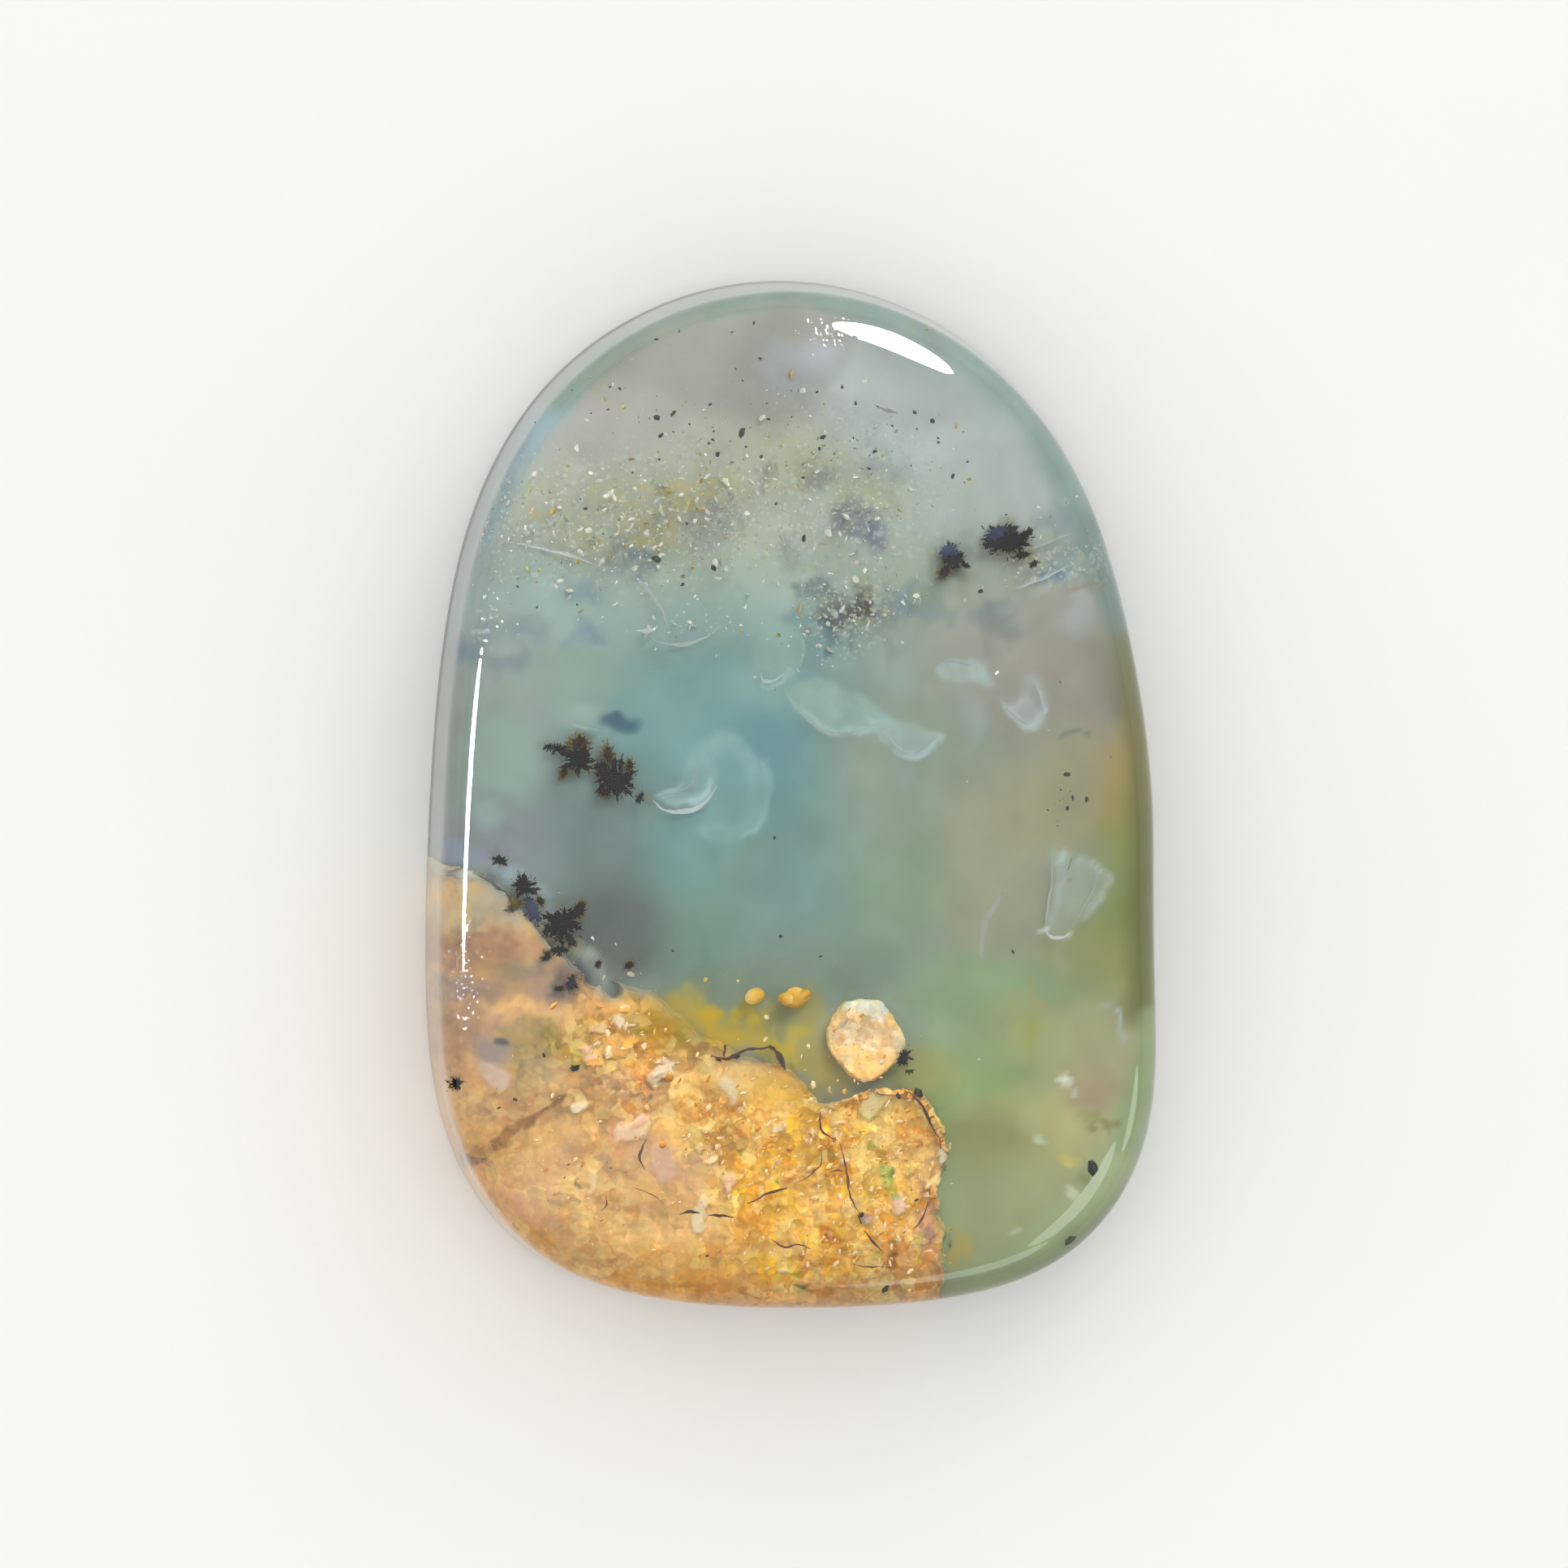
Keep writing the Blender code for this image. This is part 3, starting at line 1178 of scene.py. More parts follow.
@dataclass
class PolishedSkin:
    """The stone's polished outer surface, which stands for the CAD solid."""

    form: StoneForm
    view: View
    finish: PolishFinish = PolishFinish()
    segments: int = 288
    fineness: int = 44
    dome_rows: int = 24
    crease: float = 30.0
    # How places past the crown's rim are drawn in, step by step, until they lie inside it
    draw_in: float = 0.985
    steps: int = 60
    rim: float = 0.2 * MM

    def build(self, effects: Effects) -> bpy.types.Object:
        """Models and dresses the skin.

        Args:
            effects: The shared node groups.

        Returns:
            The finished piece.
        """
        piece = self.form.cast(self.segments, self.fineness, self.dome_rows)
        Bench.shade(piece, self.crease)
        Bench.deliver(piece, "polished_skin", self.finish.build(effects))
        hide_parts(CAD_NODE)
        self.tree = BVHTree.FromPolygons(
            [vertex.co.copy() for vertex in piece.data.vertices],
            [tuple(face.vertices) for face in piece.data.polygons],
        )
        return piece

    def meet(self, place: Place) -> tuple[Vector | None, Vector | None]:
        """Where the camera's ray to a place in its picture meets the skin, and the normal there."""
        flat = Vector((place[0] * MM, place[1] * MM, self.view.focus_height))
        spot, normal, _, _ = self.tree.ray_cast(self.view.eye(), (flat - self.view.eye()).normalized())
        return spot, normal

    def under(self, place: Place, depth: float) -> Vector:
        """The point at a depth below the crown.

        Args:
            place: Where the camera sees it, in millimetres.
            depth: How far down, in millimetres.

        Returns:
            The point in metres. It stays inside the stone's outline.
        """
        for step in range(self.steps):
            near = self.draw_in**step
            spot, _ = self.meet((place[0] * near, place[1] * near))
            if spot is not None and spot.z > self.form.girdle_height + self.rim:
                return spot - Vector((0, 0, depth * MM))
        raise ValueError(f"no stone over {place}")


@dataclass(frozen=True)
class OpalPicture:
    """What shows in the clouded opal: zones, clouds, veils, healed cracks and blurred growths."""

    ground: Tint = 0x98A69D
    zones: tuple[Mark, ...] = marks(
        # The head: grey-lilac, paler and cooler at the right
        (-2.2, 10.2, 5.6, 2.6, 0x989990, 1), (-5, 10, 0.9, 1.4, 0x8A8C7E, 0.8, 0.6, -45),
        (-3.8, 8.6, 3.4, 1.6, 0xABACA6), (-0.8, 8.4, 2.2, 0.9, 0xB6BEAA, 0.85),
        (0.6, 10.8, 2.6, 1.3, 0x9CA198), (4.2, 8.6, 2.8, 2.6, 0xB4C0BC, 0.95),
        (4, 10.7, 2.2, 0.9, 0x98A8A0, 0.8, 0.6, -35), (3, 9.8, 1.6, 1, 0xA8B0AC, 0.8),
        # The band of grains and what lies under it
        (-2.6, 6.9, 4.6, 1.3, 0xB2BAA8, 0.85), (3.4, 6.8, 2.6, 1.4, 0xAEBCB2, 0.85),
        (4.4, 5.2, 2.6, 1, 0xA2B09C, 0.8), (6.2, 7.6, 1.8, 1.6, 0xA8B4AC, 0.85),
        (-2.4, 4.7, 3.4, 1.3, 0xACBEAE), (-5.6, 4.6, 1.8, 1, 0xA0B8AE, 0.8),
        # The teal heart and the grey shadow beside it
        (-1.8, 1.4, 3.6, 2.6, 0x80A3A0, 1), (-0.2, 0.3, 2.4, 2.4, 0x749C9F, 0.95),
        (0.4, -2.2, 2.2, 1.8, 0x7C9A96), (-1.7, -2.9, 1, 2.2, 0x809C91, 0.8),
        (-5, -1.2, 2.6, 1.6, 0x809490, 0.95), (-4.1, -3, 1.8, 1.2, 0x6E7670, 0.95),
        (-2.3, -3.2, 1, 1.2, 0x7C9A8A, 0.8), (-2.6, -1.3, 1.2, 0.9, 0x7AA09C, 0.8),
        (-0.6, 2.5, 1.2, 0.7, 0x9ABAB2, 0.6), (-7.4, -1.2, 1.4, 0.8, 0x8C9498, 0.85),
        (-1.2, -4.8, 2.2, 0.9, 0x829280, 0.8), (1.6, -4, 2, 1.1, 0x849888),
        # The greener and warmer right side
        (3.4, 0.6, 2.6, 2.8, 0x92A08E, 0.95), (3.6, -2.2, 2.2, 1.5, 0x8CA288),
        (5.8, 3.8, 2.4, 1.6, 0x9EA094), (6.9, 2.6, 1.5, 1.9, 0x98968A, 0.95),
        (8, 2.4, 0.7, 1.8, 0x808070, 0.8), (5.4, -1, 1.5, 2.2, 0xA0A48C), (6.8, 0, 1.2, 1.4, 0xA09C7C, 0.8),
        (8.1, -0.2, 0.8, 1.7, 0xA69664), (5.6, -3.4, 1.6, 1.3, 0x9A9C86, 0.85),
        (8.4, -3.2, 1.3, 2.6, 0x809058, 0.95), (7.6, -4.5, 1.2, 1.2, 0x969868, 0.8),
        (5, -5, 1.9, 1, 0x8EA882), (7.4, -6.8, 1.6, 1.4, 0xA0A07A), (5.8, -6.1, 1.3, 0.9, 0xA6AC7E, 0.8),
        (4.3, -7.6, 1.5, 1.6, 0x8EA56E), (3.3, -6.9, 0.6, 0.6, 0xA8A66E, 0.7),
        (6.2, -8.4, 1.8, 1.2, 0xB8B67E, 0.85), (4.8, -9, 1.5, 1.1, 0x929468, 0.85),
        (3.9, -10.8, 1, 1.6, 0xA6B888, 0.85), (6.2, -10.4, 2, 1.1, 0xA4AA7C, 0.85, 0.6, 40),
        (5.6, -11.8, 3, 0.6, 0x88A288, 0.85, 0.6, 28),
        strength=0.9,
    )
    # Painted light and shade along the rim: lighter at the left and the foot, darker at the head and the
    # right, for how the shoulder is lit
    rim_light_and_shade: tuple[Mark, ...] = (
        Stroke(((-8.5, 4), (-8.2, 5.3), (-7.8, 6.6)), (1.1, 1.1), 0xA8C4C4, 0.9, 0.7),
        Stroke(((-7.8, 6.6), (-6.9, 8.3), (-5.7, 9.9)), (1, 0.9), 0x8EACB2, 0.9, 0.7),
        Stroke(((-5.7, 9.9), (-4, 11.4), (-1.8, 12.2), (0.8, 12.4)), (0.8, 0.7), 0x7A9082, 0.9, 0.8),
        Stroke(((0.8, 12.4), (3.4, 11.7), (5.6, 9.9), (7, 7.4), (7.8, 5.4)), (0.8, 1), 0x80988E, 0.9, 0.8),
        Stroke(((7.4, 6.8), (7.9, 5), (8.3, 3.6)), (0.9, 0.7), 0x768A82, 0.9, 0.8),
        Stroke(((8.3, 3.6), (8.6, 1), (8.7, -2), (8.6, -5.4)), (0.8, 0.8), 0x707050, 0.85, 0.8),
        Stroke(((-8.6, 4.2), (-8.9, 1), (-8.9, -1.6)), (0.6, 0.6), 0xBCD6D2, 0.85, 0.8),
        Stroke(((8.8, -5.6), (8.5, -7.6), (8, -9)), (0.6, 0.7), 0x90A47A, 0.9, 0.8),
        Stroke(((7.9, -9.2), (6.6, -10.9), (4.4, -12.2)), (0.8, 1.1), 0xA8BA8E, 1, 0.8),
    )
    clouds: tuple[Mark, ...] = marks(
        Plate(((-6.7, 3.2), (-6.3, 3.7), (-5.4, 3.8), (-4.7, 3.4), (-4.3, 2.9), (-4.6, 2.3), (-4.8, 1.75),
            (-5.3, 1.8), (-5.6, 2.2), (-6, 2.5), (-6.5, 2.6)), 0x94AA9D, 0.9, 0.28),
        (-4.3, 1.8, 0.5, 0.18, 0x465E72, 0.9, 0.5, -4), (-5.1, 2, 0.5, 0.28, 0xA6BEB4, 0.6, 0.5, 20),
        (-7, 1, 0.85, 1.1, 0x94ADA1, 0.85, 0.4), (-7.45, -0.45, 0.3, 0.36, 0x9EBAB2, 0.7, 0.5),
        (-8.3, -1.4, 0.9, 0.26, 0x96A4B6, 0.7, 0.6, -8), (-0.2, 3.5, 0.65, 0.7, 0x97B5AA, 0.8, 0.3),
        (1, 3.7, 0.8, 0.5, 0x92B0A6, 0.5), (-2.6, 4.2, 1.1, 0.45, 0x98B2AC, 0.5, 0.6, 8),
        (2.6, 2.9, 0.4, 0.8, 0x9CB0AA, 0.5), (4.4, 1.9, 0.35, 0.6, 0xA2B0AE, 0.6),
        (2.75, 0.5, 0.28, 0.45, 0x96AAA8, 0.5, 0.7), (6.9, 4.2, 0.45, 0.35, 0xA0B2B0, 0.6, 0.5),
        (7.2, 4.6, 0.3, 0.3, 0xA8B2AE, 0.5, 0.5), (0.6, 10.8, 0.5, 0.4, 0xBEC8D0, 0.6, 0.7),
        (1.4, 10.1, 0.35, 0.35, 0xBCC8CA, 0.6, 0.7), (-0.1, 10.5, 0.6, 0.7, 0x9EA6B0, 0.5, 0.7),
        (6.3, 5.3, 0.9, 0.2, 0xBECAC4, 0.5, 0.8, 22),
    )
    veils: tuple[Mark, ...] = marks(
        # The curl: a broad faint ring, and the leaf within it
        Stroke(((-2.4, 0.8), (-2.1, 1.2), (-1.5, 1.3), (-1, 0.9), (-0.75, 0.2), (-0.85, -0.5), (-1.3, -0.9),
            (-2, -0.9)), (0.5, 0.5), 0x98BCB8, 0.75, 0.7),
        (-1.65, 0.2, 0.95, 1.05, 0x8AAEAC, 0.6, 0.3),
        Stroke(((-0.66, 0.8), (-0.52, 0.1), (-0.7, -0.6), (-1.2, -1)), (0.16, 0.12), 0xA0C4C0, 0.6, 0.7),
        Plate(((-3.45, 0.04), (-3.25, 0.12), (-3, 0.12), (-2.8, 0.2), (-2.65, 0.55), (-2.55, 0.95),
            (-2.3, 1.1), (-2, 1), (-1.85, 0.7), (-1.9, 0.38), (-2.1, 0.05), (-2.4, -0.22), (-2.85, -0.32),
            (-3.2, -0.2)), 0x92B1B1, 0.85, 0.05, 0xB8D4D2, -70, 0.08),
        (-2.85, -0.05, 0.4, 0.14, 0xB0CCCA, 0.7, 0.6, -8),
        # The large veil and its tail
        Plate(((-0.1, 2.54), (0.2, 2.74), (0.7, 2.86), (1.5, 2.6), (2, 2.3), (2.3, 2.05), (2.8, 1.84),
            (2.4, 1.5), (1.7, 1.46), (1.2, 1.42), (0.8, 1.5), (0.5, 1.8), (0.2, 2.14), (-0.04, 2.4)),
            0x9AB6AA, 0.95, 0.06, 0xB0CCC2, -105, 0.1),
        Plate(((1.7, 1.9), (2.5, 1.86), (3, 1.9), (3.3, 1.64), (3.7, 1.68), (3.76, 1.4), (3.4, 1.1),
            (3, 0.88), (2.6, 1.02), (2.3, 1.3)), 0xA8C0BC, 0.95, 0.08, 0xBAD0CC, -60, 0.1),
        Stroke(((-0.75, 2.76), (-0.6, 2.6), (-0.34, 2.6), (-0.12, 2.8), (-0.06, 3.05)), (0.1, 0.1),
            0xB2CAC4, 0.85),
        Stroke(((-0.5, 2.7), (-0.1, 2.78), (0.15, 3.1), (0.35, 3.6), (0.3, 3.9)), (0.08, 0.06), 0xACC8BE,
            0.6),
        # Veils in the right half
        Plate(((3.46, 3), (3.8, 3.3), (4.2, 3.38), (4.7, 3.2), (4.95, 2.84), (5, 2.6), (4.5, 2.7),
            (3.9, 2.74)), 0xB0C2BE, 0.9, 0.1),
        Plate(((5.14, 2.24), (5.4, 2.2), (5.7, 2.36), (5.74, 2.9), (5.94, 2.98), (6.2, 2.6), (6.3, 2),
            (6.1, 1.62), (5.7, 1.58), (5.3, 1.9)), 0xAEBCBA, 0.9, 0.08, 0xBECCC8, -90, 0.12),
        # The bell near the right edge
        Plate(((6.16, -1.16), (6.5, -1.3), (6.86, -1.3), (6.96, -1.75), (7.2, -1.5), (7.4, -1.6),
            (7.7, -1.96), (7.92, -2.2), (7.7, -2.55), (7.4, -2.9), (7.1, -3.2), (6.94, -3.5), (6.7, -3.56),
            (6.4, -3.44), (6.3, -3.2), (6.4, -2.7), (6.5, -2.2), (6.46, -1.7)), 0xA0AE9E, 0.85, 0.06,
            0xACBAB0, 20, 0.07),
        Stroke(((6.66, -1.4), (6.6, -2), (6.46, -2.8), (6.34, -3.3)), (0.26, 0.16), 0xAEBCBC, 0.7),
        (6.65, -1.5, 0.16, 0.2, 0xC2D0CE, 0.8, 0.5),
        Stroke(((6.3, -3.24), (6.36, -3.44), (6.56, -3.56), (6.8, -3.54), (6.94, -3.4)), (0.07, 0.06),
            0xDEEAE2, 0.95),
        Stroke(((6.96, -1.7), (6.86, -2), (6.74, -2.3)), (0.07, 0.05), 0x967460, 0.8),
        Stroke(((6.6, -3.6), (6.7, -4.2)), (0.2, 0.3), 0x9EA492, 0.5),
        # Wisps
        Stroke(((5.1, -2.6), (4.9, -2.95), (4.76, -3.4), (4.64, -4)), (0.16, 0.1), 0xB0B4B4, 0.75),
        Stroke(((7.6, -5.1), (7.9, -5.2), (8.16, -5.46), (8.2, -6.1)), (0.12, 0.18), 0xACB8BC, 0.85),
        (6.66, -7.06, 0.2, 0.12, 0xE8F2E2, 0.95, 0.4, -30),
        (6.98, -7.4, 0.14, 0.06, 0xC4D0BE, 0.8, 0.5, -50),
        (6.94, -9.86, 0.18, 0.1, 0xE8F2DC, 0.95, 0.35, -45), (5.54, -10.66, 0.14, 0.1, 0xCED8C4, 0.85, 0.5),
        (6.06, -8.56, 0.16, 0.1, 0xC6D2BA, 0.85, 0.5, -30), (6.8, -9, 0.22, 0.15, 0xDCCE74, 0.9, 0.5, -20),
        (5.9, -8.1, 0.3, 0.3, 0xB8C296, 0.5, 0.7),
        Stroke(((-7.1, -1.7), (-6.5, -2), (-6.1, -2.5), (-5.9, -3.1)), (0.4, 0.4), 0xAAC0C8, 0.85),
        Stroke(((-6.1, -3.3), (-5.7, -3.6), (-5.3, -3.7)), (0.25, 0.3), 0xD0DEB4, 0.9),
        Stroke(((-5.3, -3.6), (-4.9, -4), (-4.75, -4.5), (-4.9, -4.9)), (0.35, 0.35), 0xBCCCB6, 0.85),
    )
    deep: tuple[Mark, ...] = marks(
        # Growths so deep that they show only as blue-grey blurs
        (1.9, 6.55, 0.55, 0.5, 0x6E7888, 0.75, 0.5), (1.3, 6.9, 0.35, 0.3, 0x7C7E80),
        (0.5, 7.8, 0.35, 0.22, 0x808A8E, 0.7, 0.5), (2.4, 7.8, 0.4, 0.5, 0x889294),
        (0.6, 5.15, 0.55, 0.28, 0x606E70, 0.8, 0.4, -8), (1.15, 4.4, 0.5, 0.45, 0x545C64, 0.8, 0.5),
        (1.75, 4.65, 0.35, 0.45, 0x564E4A, 0.8, 0.5), (0.45, 4.1, 0.4, 0.8, 0x749298, 0.7),
        (1.1, 3.85, 0.35, 0.25, 0x5C707C, 0.8, 0.5), (3, 4.85, 0.65, 0.4, 0x708A98, 0.65, 0.6, 10),
        (4, 5.8, 0.55, 0.45, 0x686C6A, 0.6, 0.7, 20), (4.3, 5.4, 0.3, 0.3, 0x84887C, 0.5, 0.7),
        (3.4, 4.4, 0.5, 0.3, 0x829298), (2.3, 4.2, 0.3, 0.7, 0x84908A),
        (5.1, 4.3, 0.6, 0.26, 0x7C9096, 0.5, 0.7, -10), (5.2, 3.9, 0.4, 0.5, 0x868680),
        (6.6, 6.75, 0.5, 0.4, 0x7C8C92, 0.7, 0.6, 20), (6.9, 5.9, 0.9, 0.25, 0x7C8E8C, 0.7, 0.6, 25),
        (6.4, 5.5, 0.3, 0.2, 0x768CA6, 0.7, 0.5, 20), (7.1, 5.1, 0.5, 0.16, 0x927E74, 0.6, 0.6, 10),
        (6.9, 1.5, 0.3, 0.12, 0x6E806C, 0.7), (-3.7, 5.95, 0.45, 0.4, 0x707E8C, 0.65),
        (-2, 6.7, 0.6, 0.5, 0x969EA2, 0.4, 0.7), (-0.55, 7.8, 0.2, 0.25, 0x70706C, 0.7, 0.5),
        (-0.1, 6, 0.3, 0.35, 0x888E8C), (-5.1, 5.05, 0.55, 0.35, 0x7C90A0, 0.7),
        (-5.2, -4.4, 0.4, 0.6, 0x5C626C, 0.8, 0.6, -20), (-6.5, 4.2, 0.35, 0.3, 0x8094A4),
        (-5.2, 3.9, 0.35, 0.3, 0x7E92A2), (-4.7, 3.9, 0.3, 0.22, 0x7C90A0),
        (-8.2, 3.7, 0.7, 0.4, 0x708A9E, 0.75), (-6.9, 3.3, 0.4, 0.3, 0x7E8A96),
        (7.75, -8.3, 0.34, 0.12, 0x767248, 0.85, 0.5, -12), (7.3, -8, 0.16, 0.3, 0x7E7E5A, 0.6, 0.6, 30),
        (7.4, -7.3, 0.6, 0.5, 0x9E847C, 0.5, 0.8),
        strength=0.6,
    )
    yellow: tuple[Mark, ...] = marks(
        # Yellow stain above the rock and between the grains
        (-3, -5.5, 0.9, 0.6, 0xC2A654, 0.9, 0.5, -15), (-2.3, -5.3, 0.6, 0.5, 0xB8AA54, 0.75, 0.6, -30),
        (-1.6, -6, 0.5, 0.45, 0xB09854, 0.85, 0.5), (-0.7, -5.6, 0.2, 0.4, 0xBEAA54, 0.85, 0.6, -20),
        (2.6, -6.9, 0.6, 0.4, 0x969860), (0.1, -5.3, 0.4, 0.25, 0xA6A25C, 0.5),
        (-0.9, -5.9, 1, 0.7, 0xBEAC4E, 0.65, 0.7), (0.5, -6, 0.7, 0.8, 0xBAAE5C, 0.65, 0.7),
        (-1.9, -5.4, 0.4, 0.4, 0xCEAE3E, 0.9, 0.5), (-1.05, -5.4, 0.16, 0.4, 0xD0B842, 0.85, 0.5),
        (-0.5, -6.1, 0.6, 0.26, 0xCEB642, 0.9, 0.5), (-1.4, -5.95, 0.5, 0.26, 0xD2B238, 0.85, 0.5),
        (0.3, -6.7, 0.7, 0.3, 0xC8BA54, 0.85, 0.5, -20), (0.2, -5.8, 0.3, 0.3, 0xCEBC4C, 0.8, 0.5),
        (-0.5, -5.6, 0.5, 0.2, 0x868E68), (0.5, -5.2, 0.25, 0.5, 0xA89C54),
        (0.9, -6.9, 0.8, 0.5, 0xAAA468, 0.85, 0.6, -30), (4.1, -11.1, 0.22, 0.5, 0xC6AC5C, 0.8, 0.6, 15),
        (5.75, -5.8, 0.3, 0.5, 0xA4A460, 0.6, 0.7, 20), (5.9, -5, 0.3, 0.25, 0xAA9E68),
        (-4.7, 7.5, 0.3, 0.25, 0xBAB47C, 0.6, 0.7, -20), (-4.2, 7.15, 0.22, 0.14, 0xBEB068, 0.6, 0.7, -20),
        (-3.6, 6.7, 0.5, 0.3, 0xC4B874, 0.5, 0.8), (-1.9, 7.5, 0.5, 0.3, 0xB8B680, 0.55, 0.8),
        (-2.8, 7.3, 0.5, 0.3, 0xC8BC70, 0.5, 0.8), (-3.4, 7.6, 0.3, 0.2, 0xC6BA70, 0.5, 0.8),
        (-3.1, 6.4, 0.5, 0.35, 0xB4B480, 0.5, 0.8), (-5.1, 6.3, 0.5, 0.4, 0xB0B48A, 0.5, 0.8),
        (-6.2, 7, 0.2, 0.14, 0xBEAC60, 0.6, 0.5), (-5.6, 8.1, 0.14, 0.12, 0xB8B66E, 0.6, 0.5),
        (0.2, 8.3, 0.9, 0.5, 0xAAAE86, 0.55, 0.8), (2, 7.4, 0.9, 0.4, 0xAEB486, 0.5),
        (3.3, 4.9, 0.3, 0.3, 0xA2AA74, 0.4),
        strength=0.6,
    )
    # The soft olive-brown patch under each growth: partly its brown stain, partly painted shadow
    stain_and_shade_halos: Tint = 0x7C765C
    # The ground's tint covers the wall by this share up to the first height, and fades by the second
    wall: Place = (1.2 * MM, 3.0 * MM)
    wall_share: float = 0.6

    def paint(self, points: np.ndarray, view: View, growths: tuple["Tuft", ...]) -> Canvas:
        """Paints the picture for these points.

        Args:
            points: Rows of x, y and z in metres.
            view: The view that the places are read in.
            growths: The moss-like growths, which have a soft olive-brown patch under them, partly their
                stain and partly painted shadow.

        Returns:
            The canvas.
        """
        canvas = Canvas(points, self.ground, view)
        canvas.lay(self.zones, Growing.CALM)
        canvas.cloud(seed=5, scale=0.5, amount=0.035)
        # Painted light and shade along the rim
        canvas.lay(self.rim_light_and_shade, Growing.SMOOTH)
        canvas.lay(self.clouds, Growing.GROWN)
        canvas.lay(self.deep, Growing.RAGGED)
        canvas.lay(self.yellow, Growing.RAGGED)
        canvas.lay(self.veils, Growing.FEATHERED)
        canvas.cloud(seed=9, scale=1.6, amount=0.02)
        canvas.blend(self.wall_share * (1 - eased(points[:, 2], *self.wall)), self.ground)
        # Painted shadow and brown stain under each growth
        stain_and_shade_halos = tuple(Patch(t.place, (t.size * 1.2, t.size), self.stain_and_shade_halos, 0.4, 0.6) for t in growths)
        canvas.lay(stain_and_shade_halos, Growing.RAGGED)
        return canvas


